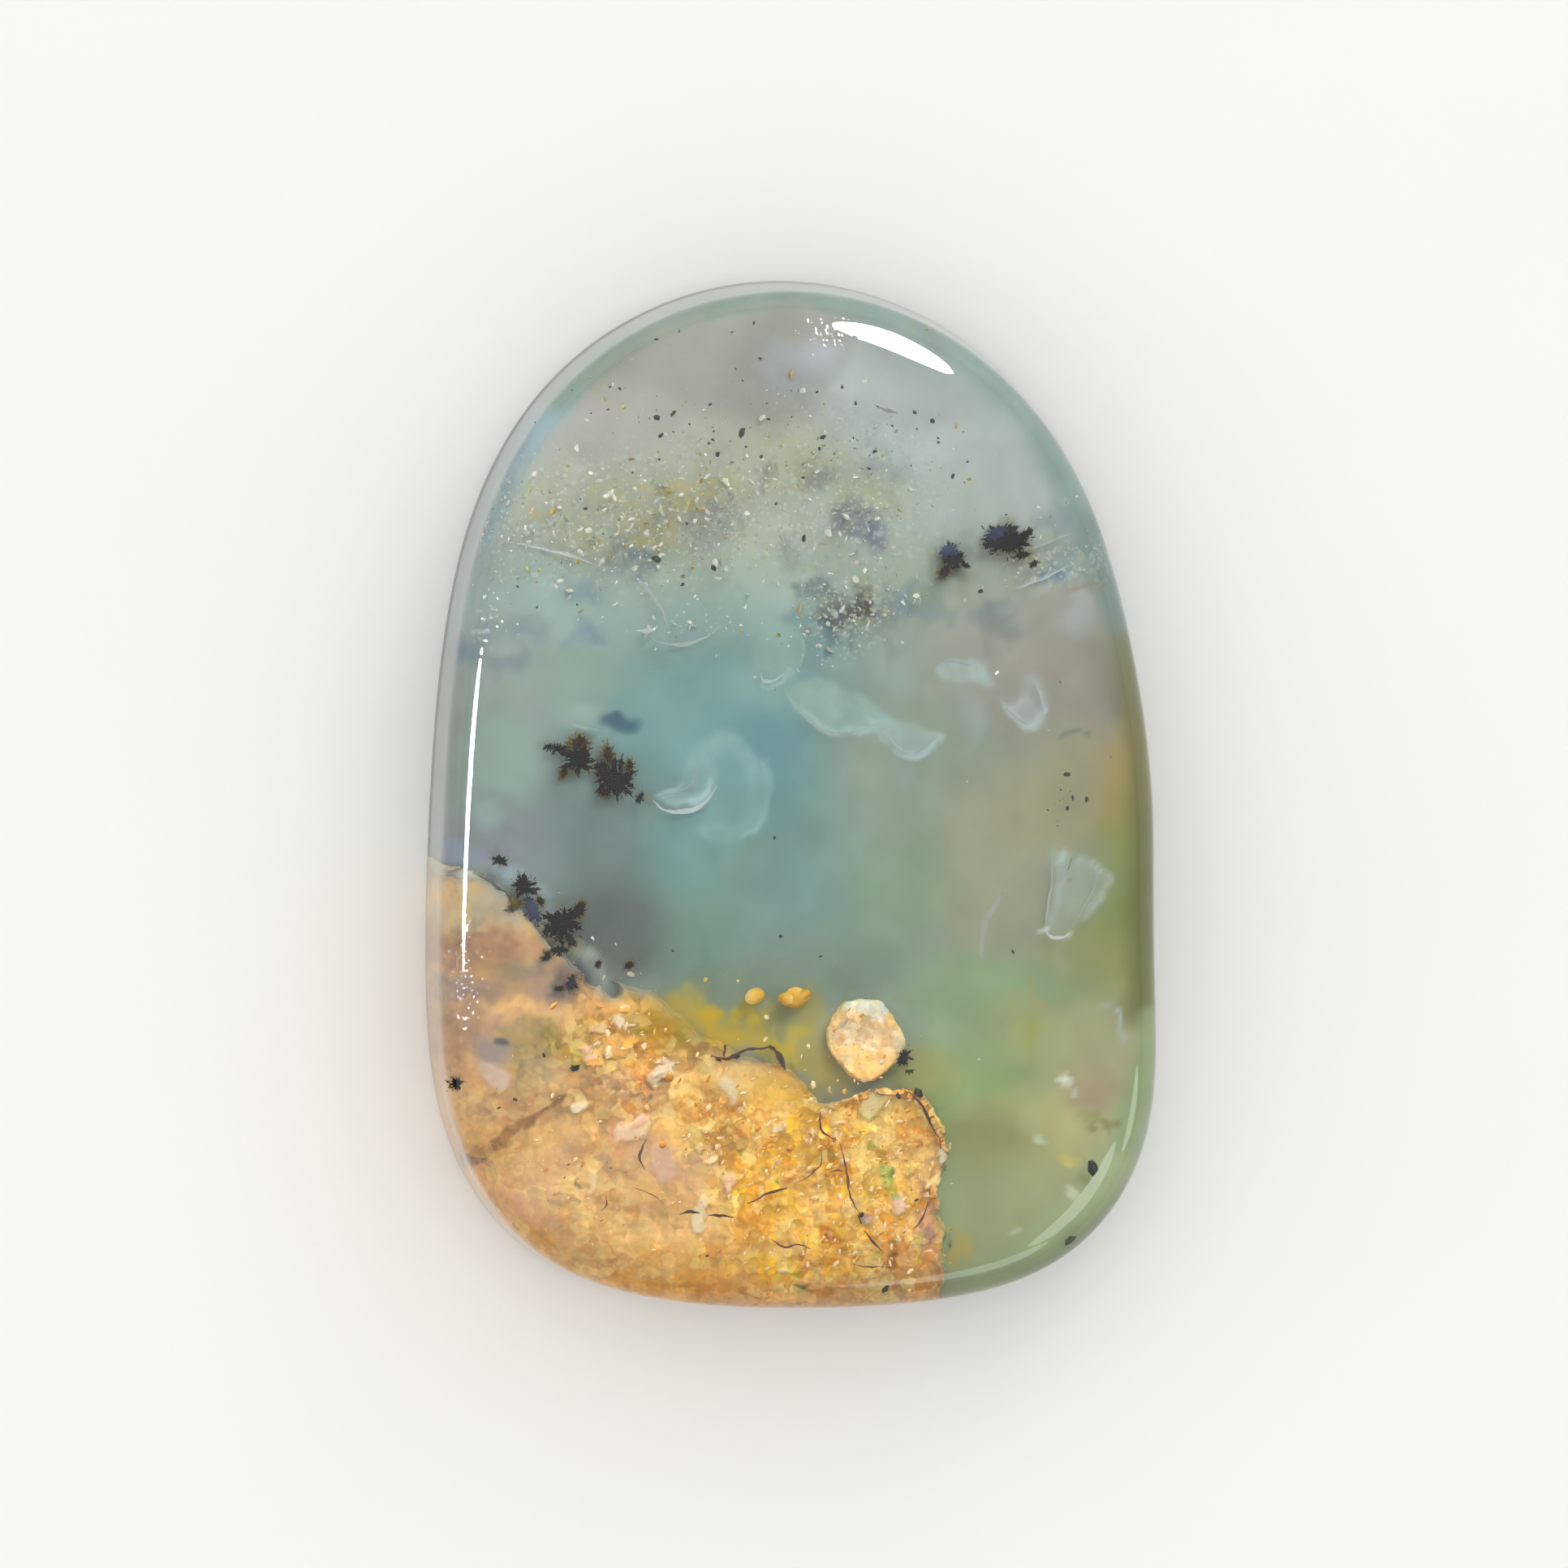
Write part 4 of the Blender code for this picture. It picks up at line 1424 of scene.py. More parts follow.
@dataclass(frozen=True)
class RockPicture:
    """What shows on the host rock: its tints, flakes, stains and cracks, and the haze over it."""

    ground: Tint = 0xD8B67C
    zones: tuple[Mark, ...] = marks(
        # The left flank: beige, pinkish brown and lilac layers
        (-8.2, -2.5, 1.1, 0.75, 0xCCC69E, 1, 0.4), (-7, -2.7, 0.8, 0.6, 0xBAB89E),
        (-7.6, -3.8, 1.6, 0.65, 0xA6866C, 0.95, 0.4), (-7.1, -3.7, 0.5, 0.25, 0xA47E6A, 0.7),
        (-7.8, -4.75, 1.1, 0.35, 0x968A86, 0.9, 0.4), (-6.6, -4.3, 0.8, 0.3, 0x96927C, 0.85, 0.5, -4),
        (-6.1, -4.75, 0.55, 0.5, 0x96847E), (-7.6, -5.5, 0.9, 0.3, 0xB2947E),
        (-8.3, -6, 0.6, 0.9, 0xB08E72, 0.85), (-6.3, -6.3, 1, 0.8, 0x7C7E62),
        # The darker band at (-6.8, -7.7) is painted shade above the crevice
        (-6.8, -7.7, 1.2, 0.45, 0xAA8E68, 0.85),
        # The bright cluster and the yellow stain beside it
        (-4.7, -6.1, 1.1, 0.8, 0xA29632, 0.95, 0.4), (-2.9, -5.6, 1.2, 0.7, 0x928818, 0.95),
        # The dark band at (-4.6, -7.15) is painted shadow beside the cream lump
        (-2.9, -6.4, 1, 0.35, 0xBA9A3E), (-4.6, -7.15, 1, 0.3, 0x907450, 0.9, 0.5, -4),
        (-4.7, -7.7, 1.1, 0.5, 0x988662, 0.85),
        # The beige body
        (-4.1, -8.1, 0.35, 0.6, 0xDEA474, 0.9, 0.5, -30), (-5.9, -8.6, 1.2, 0.6, 0xCEB270),
        (-5, -8.9, 0.7, 0.5, 0xBAA07E, 0.8), (-3.3, -9, 0.6, 0.6, 0xDCBE96, 0.9, 0.4),
        (-2.3, -9.3, 0.6, 0.4, 0xB6988A), (-5.6, -9.9, 2, 0.9, 0xD8BC8A),
        # The small brown patch at (-5.7, -10.8) is painted shadow
        (-5.7, -10.8, 0.35, 0.2, 0xA68068, 0.8), (-4, -10.8, 2.4, 0.9, 0xE6C27C),
        (-2.2, -11.5, 1.4, 0.6, 0xECBA56), (-2.9, -12.2, 3.4, 0.35, 0xF0B252, 0.9, 0.5, -4),
        (-7, -10.3, 0.3, 1.4, 0xDEA85A, 0.8, 0.6, 40), (-2.2, -7.9, 1.1, 1, 0xE8D87E),
        (-1, -7, 1.4, 0.5, 0xE2CE80),
        # The orange heart and the block at the right
        (0.3, -9.3, 2.1, 2.3, 0xFFD03E, 1, 0.35), (2.5, -8.6, 1.1, 1.2, 0xFFE66C, 1, 0.35),
        (2.2, -10, 1, 0.9, 0xFFE258, 0.95, 0.4), (3.2, -8.3, 0.45, 0.5, 0xFCBE42, 0.9, 0.4),
        (3.3, -10.9, 0.6, 0.9, 0xC8A68A, 0.9, 0.4), (3.2, -11.8, 0.8, 0.4, 0xCCBC82, 0.8),
        (0.6, -11.6, 1.6, 0.5, 0xFFD83E, 0.95), (1.2, -12.3, 2.4, 0.25, 0xE2B870, 0.85),
        strength=0.9, softness=0.5,
    )
    flakes: tuple[Mark, ...] = marks(
        (-7.4, -6.3, 0.42, 0.34, 0x969294, 0.8, 0.6, -40),
        (-7.15, -6.05, 0.18, 0.12, 0x60626C, 0.8, 0.4, -40),
        (-7.35, -6.95, 0.42, 0.26, 0xCEBEAC, 0.9, 0.3, -45),
        (-4.75, -5.75, 0.26, 0.16, 0xECDAA6, 0.95, 0.25, 20), (-4.2, -5.6, 0.18, 0.2, 0xF2ECCE, 0.95, 0.25),
        (-4, -6.22, 0.3, 0.12, 0xFAC25C, 0.95, 0.25, 35),
        (-5.05, -6.35, 0.2, 0.14, 0xF2C8AC, 0.9, 0.3, -30),
        (-4.85, -6.55, 0.2, 0.14, 0xFABE6E, 0.9, 0.3, 20), (-4.45, -6.2, 0.16, 0.3, 0xEEAC5A, 0.8, 0.3, 40),
        Plate(((-3.55, -7), (-3.4, -6.65), (-3.05, -6.5), (-2.85, -6.6), (-2.9, -6.9), (-3.15, -7.2),
            (-3.4, -7.25)), 0xE6E0BA, 0.95, 0.04, 0xFAF8E0, 60, 0.05),
        (-3.2, -6.85, 0.14, 0.08, 0xFAF6DC, 0.9, 0.3, 30), (-3.76, -7.14, 0.09, 0.12, 0xF69632, 0.95, 0.4),
        Plate(((-5.6, -7.8), (-5.3, -7.55), (-4.95, -7.45), (-5.05, -7.65), (-5.3, -7.8)), 0xECE6C0, 0.95,
            0.03),
        Plate(((-4.3, -8.5), (-4.2, -8.1), (-3.8, -7.8), (-3.5, -7.9), (-3.5, -8.3), (-3.7, -8.55)),
            0xECD6B4, 0.85, 0.05, 0xF6E6C8, 110, 0.05),
        (-3.75, -8.1, 0.16, 0.1, 0xF4BEA4, 0.9),
        Plate(((-3.6, -8.8), (-3.2, -8.5), (-2.9, -8.8), (-2.85, -9.4), (-3.1, -9.8), (-3.5, -9.4)),
            0xD4B6A0, 0.8, 0.07),
        (-1.55, -9.65, 0.22, 0.3, 0xF6D4AC, 0.9, 0.3, -20),
        (-1.5, -7.35, 0.2, 0.42, 0xDAD6B2, 0.9, 0.35, 8),
        (-0.26, -8.25, 0.16, 0.09, 0xFEF8DE, 0.95, 0.25, -20),
        (-1.95, -9, 0.14, 0.1, 0xF6E8C4, 0.9, 0.3, 30), (-2.1, -8.25, 0.13, 0.12, 0xF4E2B4, 0.9, 0.3, -30),
        (-2.3, -8.7, 0.12, 0.1, 0xF4DEAA, 0.9),
        Plate(((-2.35, -10.75), (-2.4, -10.4), (-2.3, -9.95), (-2.05, -9.95), (-2, -10.3), (-2.1, -10.6),
            (-2.2, -10.85)), 0xF0EABE, 0.95, 0.04),
        (-5, -9.65, 0.14, 0.3, 0xE8DAA8, 0.9, 0.35, -25), (-6.6, -10.2, 0.9, 0.3, 0xD8B094, 0.6, 0.5, -35),
        (1.1, -7.5, 0.5, 0.18, 0xFCE09A, 0.95, 0.3, 6),
        Plate(((1.75, -8.05), (1.8, -7.6), (2.1, -7.3), (2.5, -7.35), (2.4, -7.7), (2.1, -8.1)), 0xD6D69E,
            0.9, 0.06),
        (2.65, -10.15, 0.24, 0.22, 0xFEDAC8, 0.95, 0.3, 30),
        Plate(((3.3, -9.75), (3.5, -9.4), (3.9, -9.35), (3.75, -9.6), (3.5, -9.8)), 0xF2E4A6, 0.95, 0.03),
        (3.8, -8.2, 0.12, 0.2, 0xC8CEBC, 0.9, 0.4), (3.8, -9, 0.13, 0.3, 0xCCD4C6, 0.9, 0.4),
        (1.9, -10.55, 0.22, 0.16, 0xB6A8A6, 0.95, 0.3, -20),
        (3.4, -10.9, 0.18, 0.3, 0xB28E82, 0.85, 0.35, -20), (-0.15, -11.8, 0.16, 0.1, 0xDED8C0, 0.95),
        softness=0.3,
    )
    stains: tuple[Mark, ...] = marks(
        (-5.5, -4.6, 0.4, 0.55, 0x60626A, 0.85, 0.6, -30),
        (-1.18, -8.72, 0.13, 0.07, 0x42922C, 0.95, 0.3, 25), (-0.36, -9.5, 0.09, 0.09, 0x6EB23C),
        Stroke(((2.2, -8.9), (2.3, -9.3), (2.45, -9.7), (2.55, -9.95)), (0.2, 0.24), 0x8CC85C, 0.9, 0.45),
        (2.05, -8.65, 0.18, 0.12, 0x98C25C, 0.85, 0.4, 40),
        Stroke(((-0.05, -11.65), (0.1, -12)), (0.12, 0.14), 0xC6DE70, 0.9, 0.4),
        (0.1, -11.95, 0.1, 0.06, 0x5AA032), (0.25, -12.3, 0.16, 0.08, 0x547832),
        (2.15, -11.5, 0.14, 0.1, 0xA0C85A, 0.8),
        Stroke(((0.6, -10.9), (0.7, -11.4), (0.6, -12)), (0.14, 0.1), 0xD6D46C, 0.7, 0.5),
        Stroke(((3.25, -11), (3.1, -11.6)), (0.14, 0.12), 0xBECE64, 0.8, 0.5),
        (0.95, -10.9, 0.42, 0.16, 0xD28228, 0.85, 0.35, -38), (-6, -9.26, 0.09, 0.07, 0xDE7846),
        (-5.34, -9.56, 0.07, 0.09, 0x2E344A, 0.95, 0.3), (3.85, -11.1, 0.14, 0.5, 0xC8B450, 0.8, 0.5),
        strength=0.9, softness=0.4,
    )
    crevices: tuple[Mark, ...] = (
        Stroke(((-8.2, -9.1), (-7.4, -8.7), (-6.6, -8.1), (-6, -7.7), (-5.4, -7.45)), (0.36, 0.1), 0x866E54,
            0.95, 0.4),
        Stroke(((2.9, -10.8), (2.65, -11.1), (2.45, -11.5), (2.4, -12), (2.3, -12.3)), (0.08, 0.2),
            0x866E60, 0.95, 0.35),
    )
    # Where haze hides the crystals. The haze and the cover count by their shares, not their tints
    haze: tuple[Mark, ...] = marks(
        (-7.6, -4.2, 2.4, 2.6, 0xFFFFFF, 0.95, 0.4), (-7, -7.4, 2, 1.8, 0xFFFFFF, 0.6),
        (-5.2, -9.8, 2.8, 2, 0xFFFFFF, 0.5), (-2.2, -11.4, 1.8, 1, 0xFFFFFF, 0.4),
        (-3, -5.6, 1.6, 0.6, 0xFFFFFF, 0.6), (-3.2, -9, 1.2, 1, 0xFFFFFF, 0.5),
        (-1.2, -7.1, 1.4, 0.5, 0xFFFFFF, 0.7, 0.6),
        softness=0.5,
    )
    # Where the opal clouds over the rock's edge
    cover: tuple[Mark, ...] = (
        Stroke(((-6.4, -3), (-5.6, -3.7), (-5, -4.2), (-4.5, -4.7)), (0.4, 0.7), 0x000000, 0.95, 0.8),
        Stroke(((-4.6, -4.2), (-3.6, -4.5), (-2.7, -4.75)), (0.6, 0.8), 0x000000, 0.95, 1),
        Stroke(((-3, -4.7), (-2, -5.5), (-1.4, -6.1), (-0.9, -6.3)), (1, 0.7), 0x000000, 1, 1),
        Stroke(((-1.1, -6.2), (-0.1, -6.35), (0.8, -7.35)), (0.6, 0.4), 0x000000, 0.95, 1),
        Stroke(((-9.4, -1.7), (-8, -1.8), (-7.3, -2.1), (-6.5, -2.9)), (0.35, 0.4), 0x000000, 0.8, 0.9),
        Stroke(((3.95, -9), (3.9, -9.9), (4, -10.8), (4.1, -12.6)), (0.3, 0.5), 0x000000, 0.9, 0.8),
    )
    # The pale band along the rock's edge: the haze there, and painted light over the shaded step at the
    # rock's edge
    edge_haze_and_light: tuple[Mark, ...] = (
        Stroke(((-8.6, -1.7), (-7.6, -1.85), (-6.9, -2.35), (-6.3, -3.05), (-5.7, -3.7), (-5.1, -4.1),
            (-4.8, -4.6)), (0.34, 0.3), 0xCEDCCC, 0.85),
    )
    veins: tuple[Tint, ...] = (0xF2DEAA, 0xC0A086, 0xF0B454, 0xE2B898)

    def paint(self, points: np.ndarray, view: View, opal: Canvas) -> Canvas:
        """Paints the picture for these points.

        Args:
            points: Rows of x, y and z in metres.
            view: The view that the places are read in.
            opal: The opal's own picture at the same points, which clouds over the rock's edge.

        Returns:
            The canvas.
        """
        canvas = Canvas(points, self.ground, view)
        canvas.lay(self.zones, Growing.RAGGED)
        canvas.marble(self.veins, scale=1.1, strength=0.1 + 0.24 * self.clearness(canvas))
        canvas.cloud(seed=12, scale=1.2, amount=0.07)
        canvas.lay(self.flakes, Growing.CRACKED)
        canvas.lay(self.stains, Growing.CRACKED)
        canvas.lay(self.crevices, Growing.CRACKED)
        canvas.tones += self.covered(canvas)[:, None] * (opal.tones - canvas.tones)
        # Painted light over the shaded step at the rock's edge, with the haze there
        canvas.lay(self.edge_haze_and_light, Growing.GROWN)
        return canvas

    def covered(self, canvas: Canvas) -> np.ndarray:
        """How far the opal clouds over the rock at each of the canvas's places, from 0 to 1."""
        return np.max([mark.share(canvas.wander(Growing.GROWN)) for mark in self.cover], axis=0)

    def clearness(self, canvas: Canvas) -> np.ndarray:
        """How clearly the crystals show at each of the canvas's places, from 0 to 1."""
        clear = np.ones(len(canvas.places))
        for mark in (*self.haze, *self.cover):
            clear *= 1 - mark.share(canvas.wander(Growing.GROWN))
        # Flakes lie smooth among the crystals
        for mark in self.flakes:
            clear *= 1 - 0.7 * mark.share(canvas.wander(Growing.CRACKED))
        return clear


@dataclass(frozen=True)
class Tuft:
    """One tuft of a moss-like growth, in millimetres."""

    place: Place
    size: float
    stretch: float = 1.0
    degrees: float = 0.0
    depth: float = 0.3
    fringe: float = 0.0


def tufts(*rows: tuple[float, ...]) -> tuple[Tuft, ...]:
    """Tufts from rows of x, y, size and whatever else of a tuft differs from the usual."""
    return tuple(Tuft((x, y), *own) for x, y, *own in rows)


TUFTS = tufts(
    # The pair left of the middle
    (-5.24, 0.86, 0.31, 1.2, -20, 0.24), (-5.7, 1.12, 0.15, 2, -12, 0.3, 0.15),
    (-5.95, 1.18, 0.1, 1.6, 20, 0.3, 0.25), (-5.18, 1.24, 0.24, 1.3, 0, 0.42, 0.75),
    (-5.58, 0.54, 0.14, 2, 65, 0.36, 0.75), (-4.3, 0.44, 0.38, 1.3, -60, 0.22),
    (-4.5, 1, 0.2, 1.8, 100, 0.38, 0.8), (-3.94, 0.72, 0.14, 1.8, 80, 0.4, 0.75),
    (-4.68, 0.68, 0.15, 1.4, 10, 0.3, 0.35), (-4.56, 0.06, 0.15, 1.5, 10, 0.36, 0.65),
    (-3.72, -0.06, 0.11, 1.6, 60, 0.2, 0.1),
    # The chain along the rock's upper edge
    (-7.16, -1.6, 0.15, 1.8, -10, 0.2, 0.1), (-6.54, -2.24, 0.25, 1.2, -70, 0.1, 0.1),
    (-6.36, -2.8, 0.25, 1.9, -70, 0.12, -0.6), (-6.84, -2.74, 0.18, 1.8, 30, 0.1, 0.85),
    (-6.18, -2.6, 0.11, 1.6, -60, 0.1, 0.5), (-5.64, -3.2, 0.38, 1.1, 20, 0.1, 0.05),
    (-5.26, -2.84, 0.2, 2.4, 50, 0.12, 0.45), (-5.46, -3.56, 0.16, 1.8, -60, 0.1, 0.45),
    (-5.7, -3.84, 0.15, 2.4, 5, 0.1, 0.3), (-6.04, -3.96, 0.13, 1.6, 40, 0.1, 0.55),
    (-4.74, -4.16, 0.1, 1.4, 80, 0.2, 0.5), (-3.98, -4.2, 0.12, 1.6, 20, 0.2, 0.5),
    (-5.38, -4.6, 0.15, 1.6, 70, 0.14, -0.3), (-5.7, -4.76, 0.09, 1.8, 0, 0.1, 0.35),
    (-5.32, -6.72, 0.1, 1.6, 30, 0.1, 0.3), (-8.24, -7.12, 0.18, 1.3, 10, 0.1, 0.5),
    # The two at the upper right
    (5.2, 6.38, 0.3, 1.7, 10, 0.3, -0.5), (5.44, 6.2, 0.34, 1.5, 0, 0.24),
    (4.92, 6.16, 0.13, 1.6, 20, 0.28, 0.1), (5.82, 6.42, 0.13, 2.2, 15, 0.28, 0.15),
    (5.74, 5.88, 0.13, 2.2, 10, 0.28, 0.45), (6.02, 5.68, 0.09, 2.2, 25, 0.2, 0.1),
    (3.92, 5.98, 0.18, 1.5, 30, 0.34, -0.7), (4.06, 5.76, 0.2, 1.5, -8, 0.36, -0.2),
    (3.8, 5.48, 0.17, 1.6, 60, 0.34, 0.7), (4.34, 5.64, 0.08, 2, -20, 0.26, 0.1),
    # The ragged dark line over the rock's upper edge
    (-1.78, -6.54, 0.06, 2, -20, 0.1, 0.7), (-1.34, -6.46, 0.07, 2, 12, 0.1, 0.6),
    (-0.46, -6.26, 0.07, 2, -30, 0.1, 0.5), (-0.22, -6.62, 0.08, 2, -60, 0.1, 0.5),
    (-1.62, -6.24, 0.05, 2.4, 90, 0.1, 0.7),
    # Small brown ones beside the pebble
    (2.82, -6.5, 0.17, 1.6, 60, 0.1, 0.2), (2.95, -6.86, 0.07, 3.2, 10, 0.2, 0.3),
)


@dataclass
class CloudedHeart:
    """The clouded opal inside the clear skin."""

    form: StoneForm
    view: View
    depth: float = 0.62 * MM
    side: float = 0.26 * MM
    segments: int = 512
    fineness: int = 36
    dome_rows: int = 100
    finish: CloudFinish = CloudFinish()
    picture: OpalPicture = OpalPicture()
    # Where the fine dust lies. Its marks count by their shares, not their tints
    grain_band: tuple[Mark, ...] = marks(
        (-3.4, 6.9, 4.6, 1.5, 0xFFFFFF, 0.4, 0.8), (1.2, 7.2, 2.2, 2, 0xFFFFFF, 0.35, 0.8),
        (1.4, 4.6, 1, 0.9, 0xFFFFFF, 0.5), (6.4, 5.6, 1.2, 0.5, 0xFFFFFF, 0.4),
    )

    def build(self, effects: Effects) -> bpy.types.Object:
        """Models and dresses the clouded opal, and takes and gives what PolishedSkin.build does."""
        form = self.form.set_in(self.depth, self.side)
        piece = form.cast(self.segments, self.fineness, self.dome_rows)
        Bench.take(piece)
        bpy.ops.object.shade_smooth()
        canvas = self.picture.paint(Bench.points(piece), self.view, TUFTS)
        canvas.keep(piece)
        places = canvas.wander(Growing.GROWN)
        Bench.keep(piece, "grainy", np.max([mark.share(places) for mark in self.grain_band], axis=0))
        return Bench.deliver(piece, "clouded_heart", self.finish.build(effects))


@dataclass
class HostRock:
    """The rock that the opal grew on, which reaches the stone's foot and left side."""

    form: StoneForm
    view: View
    depth: float = 0.14 * MM
    side: float = 0.04 * MM
    segments: int = 160
    fineness: int = 24
    dome_rows: int = 12
    voxel: float = 0.09 * MM
    dip: float = 0.7 * MM
    # How far the opal has to cover the rock before it starts to dip
    dips_from: float = 0.6
    # Faces that look up by more than this are made finer
    upward: float = 0.35
    pits: tuple[Pits, ...] = (
        Pits("rock_lumps", 0.85, 0.16),
        Pits("rock_grains", 0.30, 0.09),
        Pits("rock_grit", 0.13, 0.03, creased=False),
    )
    # The rock is rough by this share at least: under haze, and on its wall up to the first height
    least_rough: float = 0.15
    upper: Place = (2.8 * MM, 4.2 * MM)
    crease: float = 32.0
    finish: RockFinish = RockFinish()
    picture: RockPicture = RockPicture()
    # The rock's edge inside the stone, from its left wall round to its foot
    edge: tuple[Place, ...] = (
        (-9.6, -1.6), (-8.4, -1.7), (-7.5, -1.9), (-6.9, -2.4), (-6.4, -3.1), (-5.9, -3.7), (-5.3, -4.1),
        (-4.9, -4.7), (-4.3, -4.5), (-3.6, -4.7), (-2.8, -4.8), (-2.0, -5.4), (-1.4, -6.15), (-0.8, -6.5),
        (-0.2, -6.6), (0.3, -7.0), (0.7, -7.6), (1.3, -7.5), (1.9, -7.25), (2.7, -7.2), (3.3, -7.4),
        (3.7, -8.1), (3.95, -8.7), (3.95, -9.2), (3.6, -9.8), (3.75, -10.4), (4.05, -11.1), (3.9, -11.8),
        (3.7, -13.4), (-9.6, -13.4),
    )

    def build(self, effects: Effects) -> bpy.types.Object:
        """Models and dresses the rock, and takes and gives what PolishedSkin.build does."""
        form = self.form.set_in(self.depth, self.side)
        piece = form.cast(self.segments, self.fineness, self.dome_rows)
        edge = self.view.lifted(np.array(self.edge), self.form.thickness - self.form.dome_rise)
        block = Bench.slab(edge, self.form.thickness * 2)
        block.location.z = -self.form.thickness / 2
        cut = piece.modifiers.new("cut", "BOOLEAN")
        cut.operation = "INTERSECT"
        cut.object = block
        Bench.apply(piece, cut)
        bpy.data.objects.remove(block)
        Bench.even_out(piece, self.voxel)

        # Only the top, which shows, is made finer
        Bench.take(piece)
        for face in piece.data.polygons:
            face.select = face.normal.z > self.upward
        bpy.ops.object.mode_set(mode="EDIT")
        bpy.ops.mesh.subdivide(number_cuts=1, smoothness=0.0)
        bpy.ops.object.mode_set(mode="OBJECT")

        smooth = Bench.points(piece)
        opal = OpalPicture().paint(smooth, self.view, ())
        canvas = self.picture.paint(smooth, self.view, opal)
        canvas.keep(piece)
        clear = self.picture.clearness(canvas)
        Bench.keep(piece, "clear", clear)
        rough = roughen(piece, smooth, self.pits)
        upper = eased(smooth[:, 2], *self.upper)
        least, most = self.least_rough, 1 - self.least_rough
        rough = smooth + (rough - smooth) * ((least + most * clear) * (least + most * upper))[:, None]
        # Where the opal clouds over the rock's edge, the rock dips under the clouded opal
        rough[:, 2] -= self.dip * eased(self.picture.covered(canvas), self.dips_from, 1.0) * upper
        Bench.set_points(piece, rough)
        Bench.shade(piece, self.crease)
        return Bench.deliver(piece, "host_rock", self.finish.build(effects))


@dataclass
class Pebble:
    """A six-sided pebble beside the host rock."""

    skin: PolishedSkin
    height: float = 1.6
    top_depth: float = 0.12
    spread: float = 1.12
    bevel: float = 0.2
    bevel_segments: int = 3
    bevel_from: float = 60.0
    voxel: float = 0.035
    crease: float = 32.0
    ground: Tint = 0xF8DE98
    clearness: float = 0.75
    pits: tuple[Pits, ...] = (Pits("pebble_facets", 0.45, 0.07), Pits("pebble_grains", 0.18, 0.04))
    # Its last tint is painted shade in the pebble's pits
    finish: RockFinish = RockFinish("pebble", 0xFFF6CE, 0xF2BA62, 0xD6A664)
    corners: tuple[Place, ...] = (
        (1.27, -5.17), (1.65, -5.08), (2.24, -5.11), (2.48, -5.46), (2.77, -5.9), (2.83, -6.26),
        (2.48, -6.73), (1.94, -7.12), (1.48, -6.94), (1.12, -6.55), (0.89, -6.17), (0.92, -5.67),
    )
    picture: tuple[Mark, ...] = marks(
        (1.8, -6.6, 0.8, 0.5, 0xFFD688, 0.95),
        Plate(((0.9, -5.8), (1.4, -5.6), (2.2, -5.6), (2.8, -6), (2.6, -6.4), (1.8, -6.05), (1, -6.3)),
            0xDEC89E, 0.8, 0.1),
        (1.2, -5.55, 0.36, 0.18, 0xF4D496, 0.9),
        Plate(((1.15, -5.3), (1.65, -5), (2.3, -5), (2.5, -5.4), (1.95, -5.5), (1.5, -5.45)), 0xCCE6DA, 1,
            0.06),
        (1.35, -5.72, 0.18, 0.1, 0xACA08C, 0.8, 0.5), (1.6, -6.1, 0.34, 0.07, 0xF6E8C8, 0.9, 0.4, 15),
        # The near-white spot at (2.17, -5.5) is a painted highlight on the cap
        (2, -6.2, 0.22, 0.06, 0xF8ECCE, 0.9, 0.4, -20), (2.17, -5.5, 0.2, 0.14, 0xFFFCF2, 1, 0.3),
        (2.14, -5.62, 0.1, 0.06, 0xF4BA50, 0.95), (2.62, -6.1, 0.2, 0.4, 0xC4BC9E, 0.8, 0.5, 20),
        softness=0.4,
    )

    def build(self, effects: Effects) -> bpy.types.Object:
        """Models and dresses the pebble, and takes and gives what PolishedSkin.build does."""
        view = self.skin.view
        middle = np.array(self.corners).mean(0)
        outline = middle + (rounded(np.array(self.corners), True, 1) - middle) * self.spread
        corners = view.lifted(outline, self.skin.form.thickness - self.skin.form.dome_rise)
        piece = Bench.slab(corners, self.height * MM)
        bevel = piece.modifiers.new("bevel", "BEVEL")
        bevel.width = self.bevel * MM
        bevel.segments = self.bevel_segments
        bevel.limit_method = "ANGLE"
        bevel.angle_limit = math.radians(self.bevel_from)
        Bench.apply(piece, bevel)
        Bench.even_out(piece, self.voxel * MM)
        top = self.skin.under((float(middle[0]), float(middle[1])), self.top_depth)
        smooth = Bench.points(piece)
        smooth[:, 2] += top.z - self.height * MM
        Bench.set_points(piece, smooth)
        canvas = Canvas(smooth, self.ground, view)
        canvas.lay(self.picture, Growing.CRACKED)
        canvas.keep(piece)
        Bench.keep(piece, "clear", np.full(len(smooth), self.clearness))
        roughen(piece, smooth, self.pits)
        Bench.shade(piece, self.crease)
        return Bench.deliver(piece, "pebble", self.finish.build(effects))


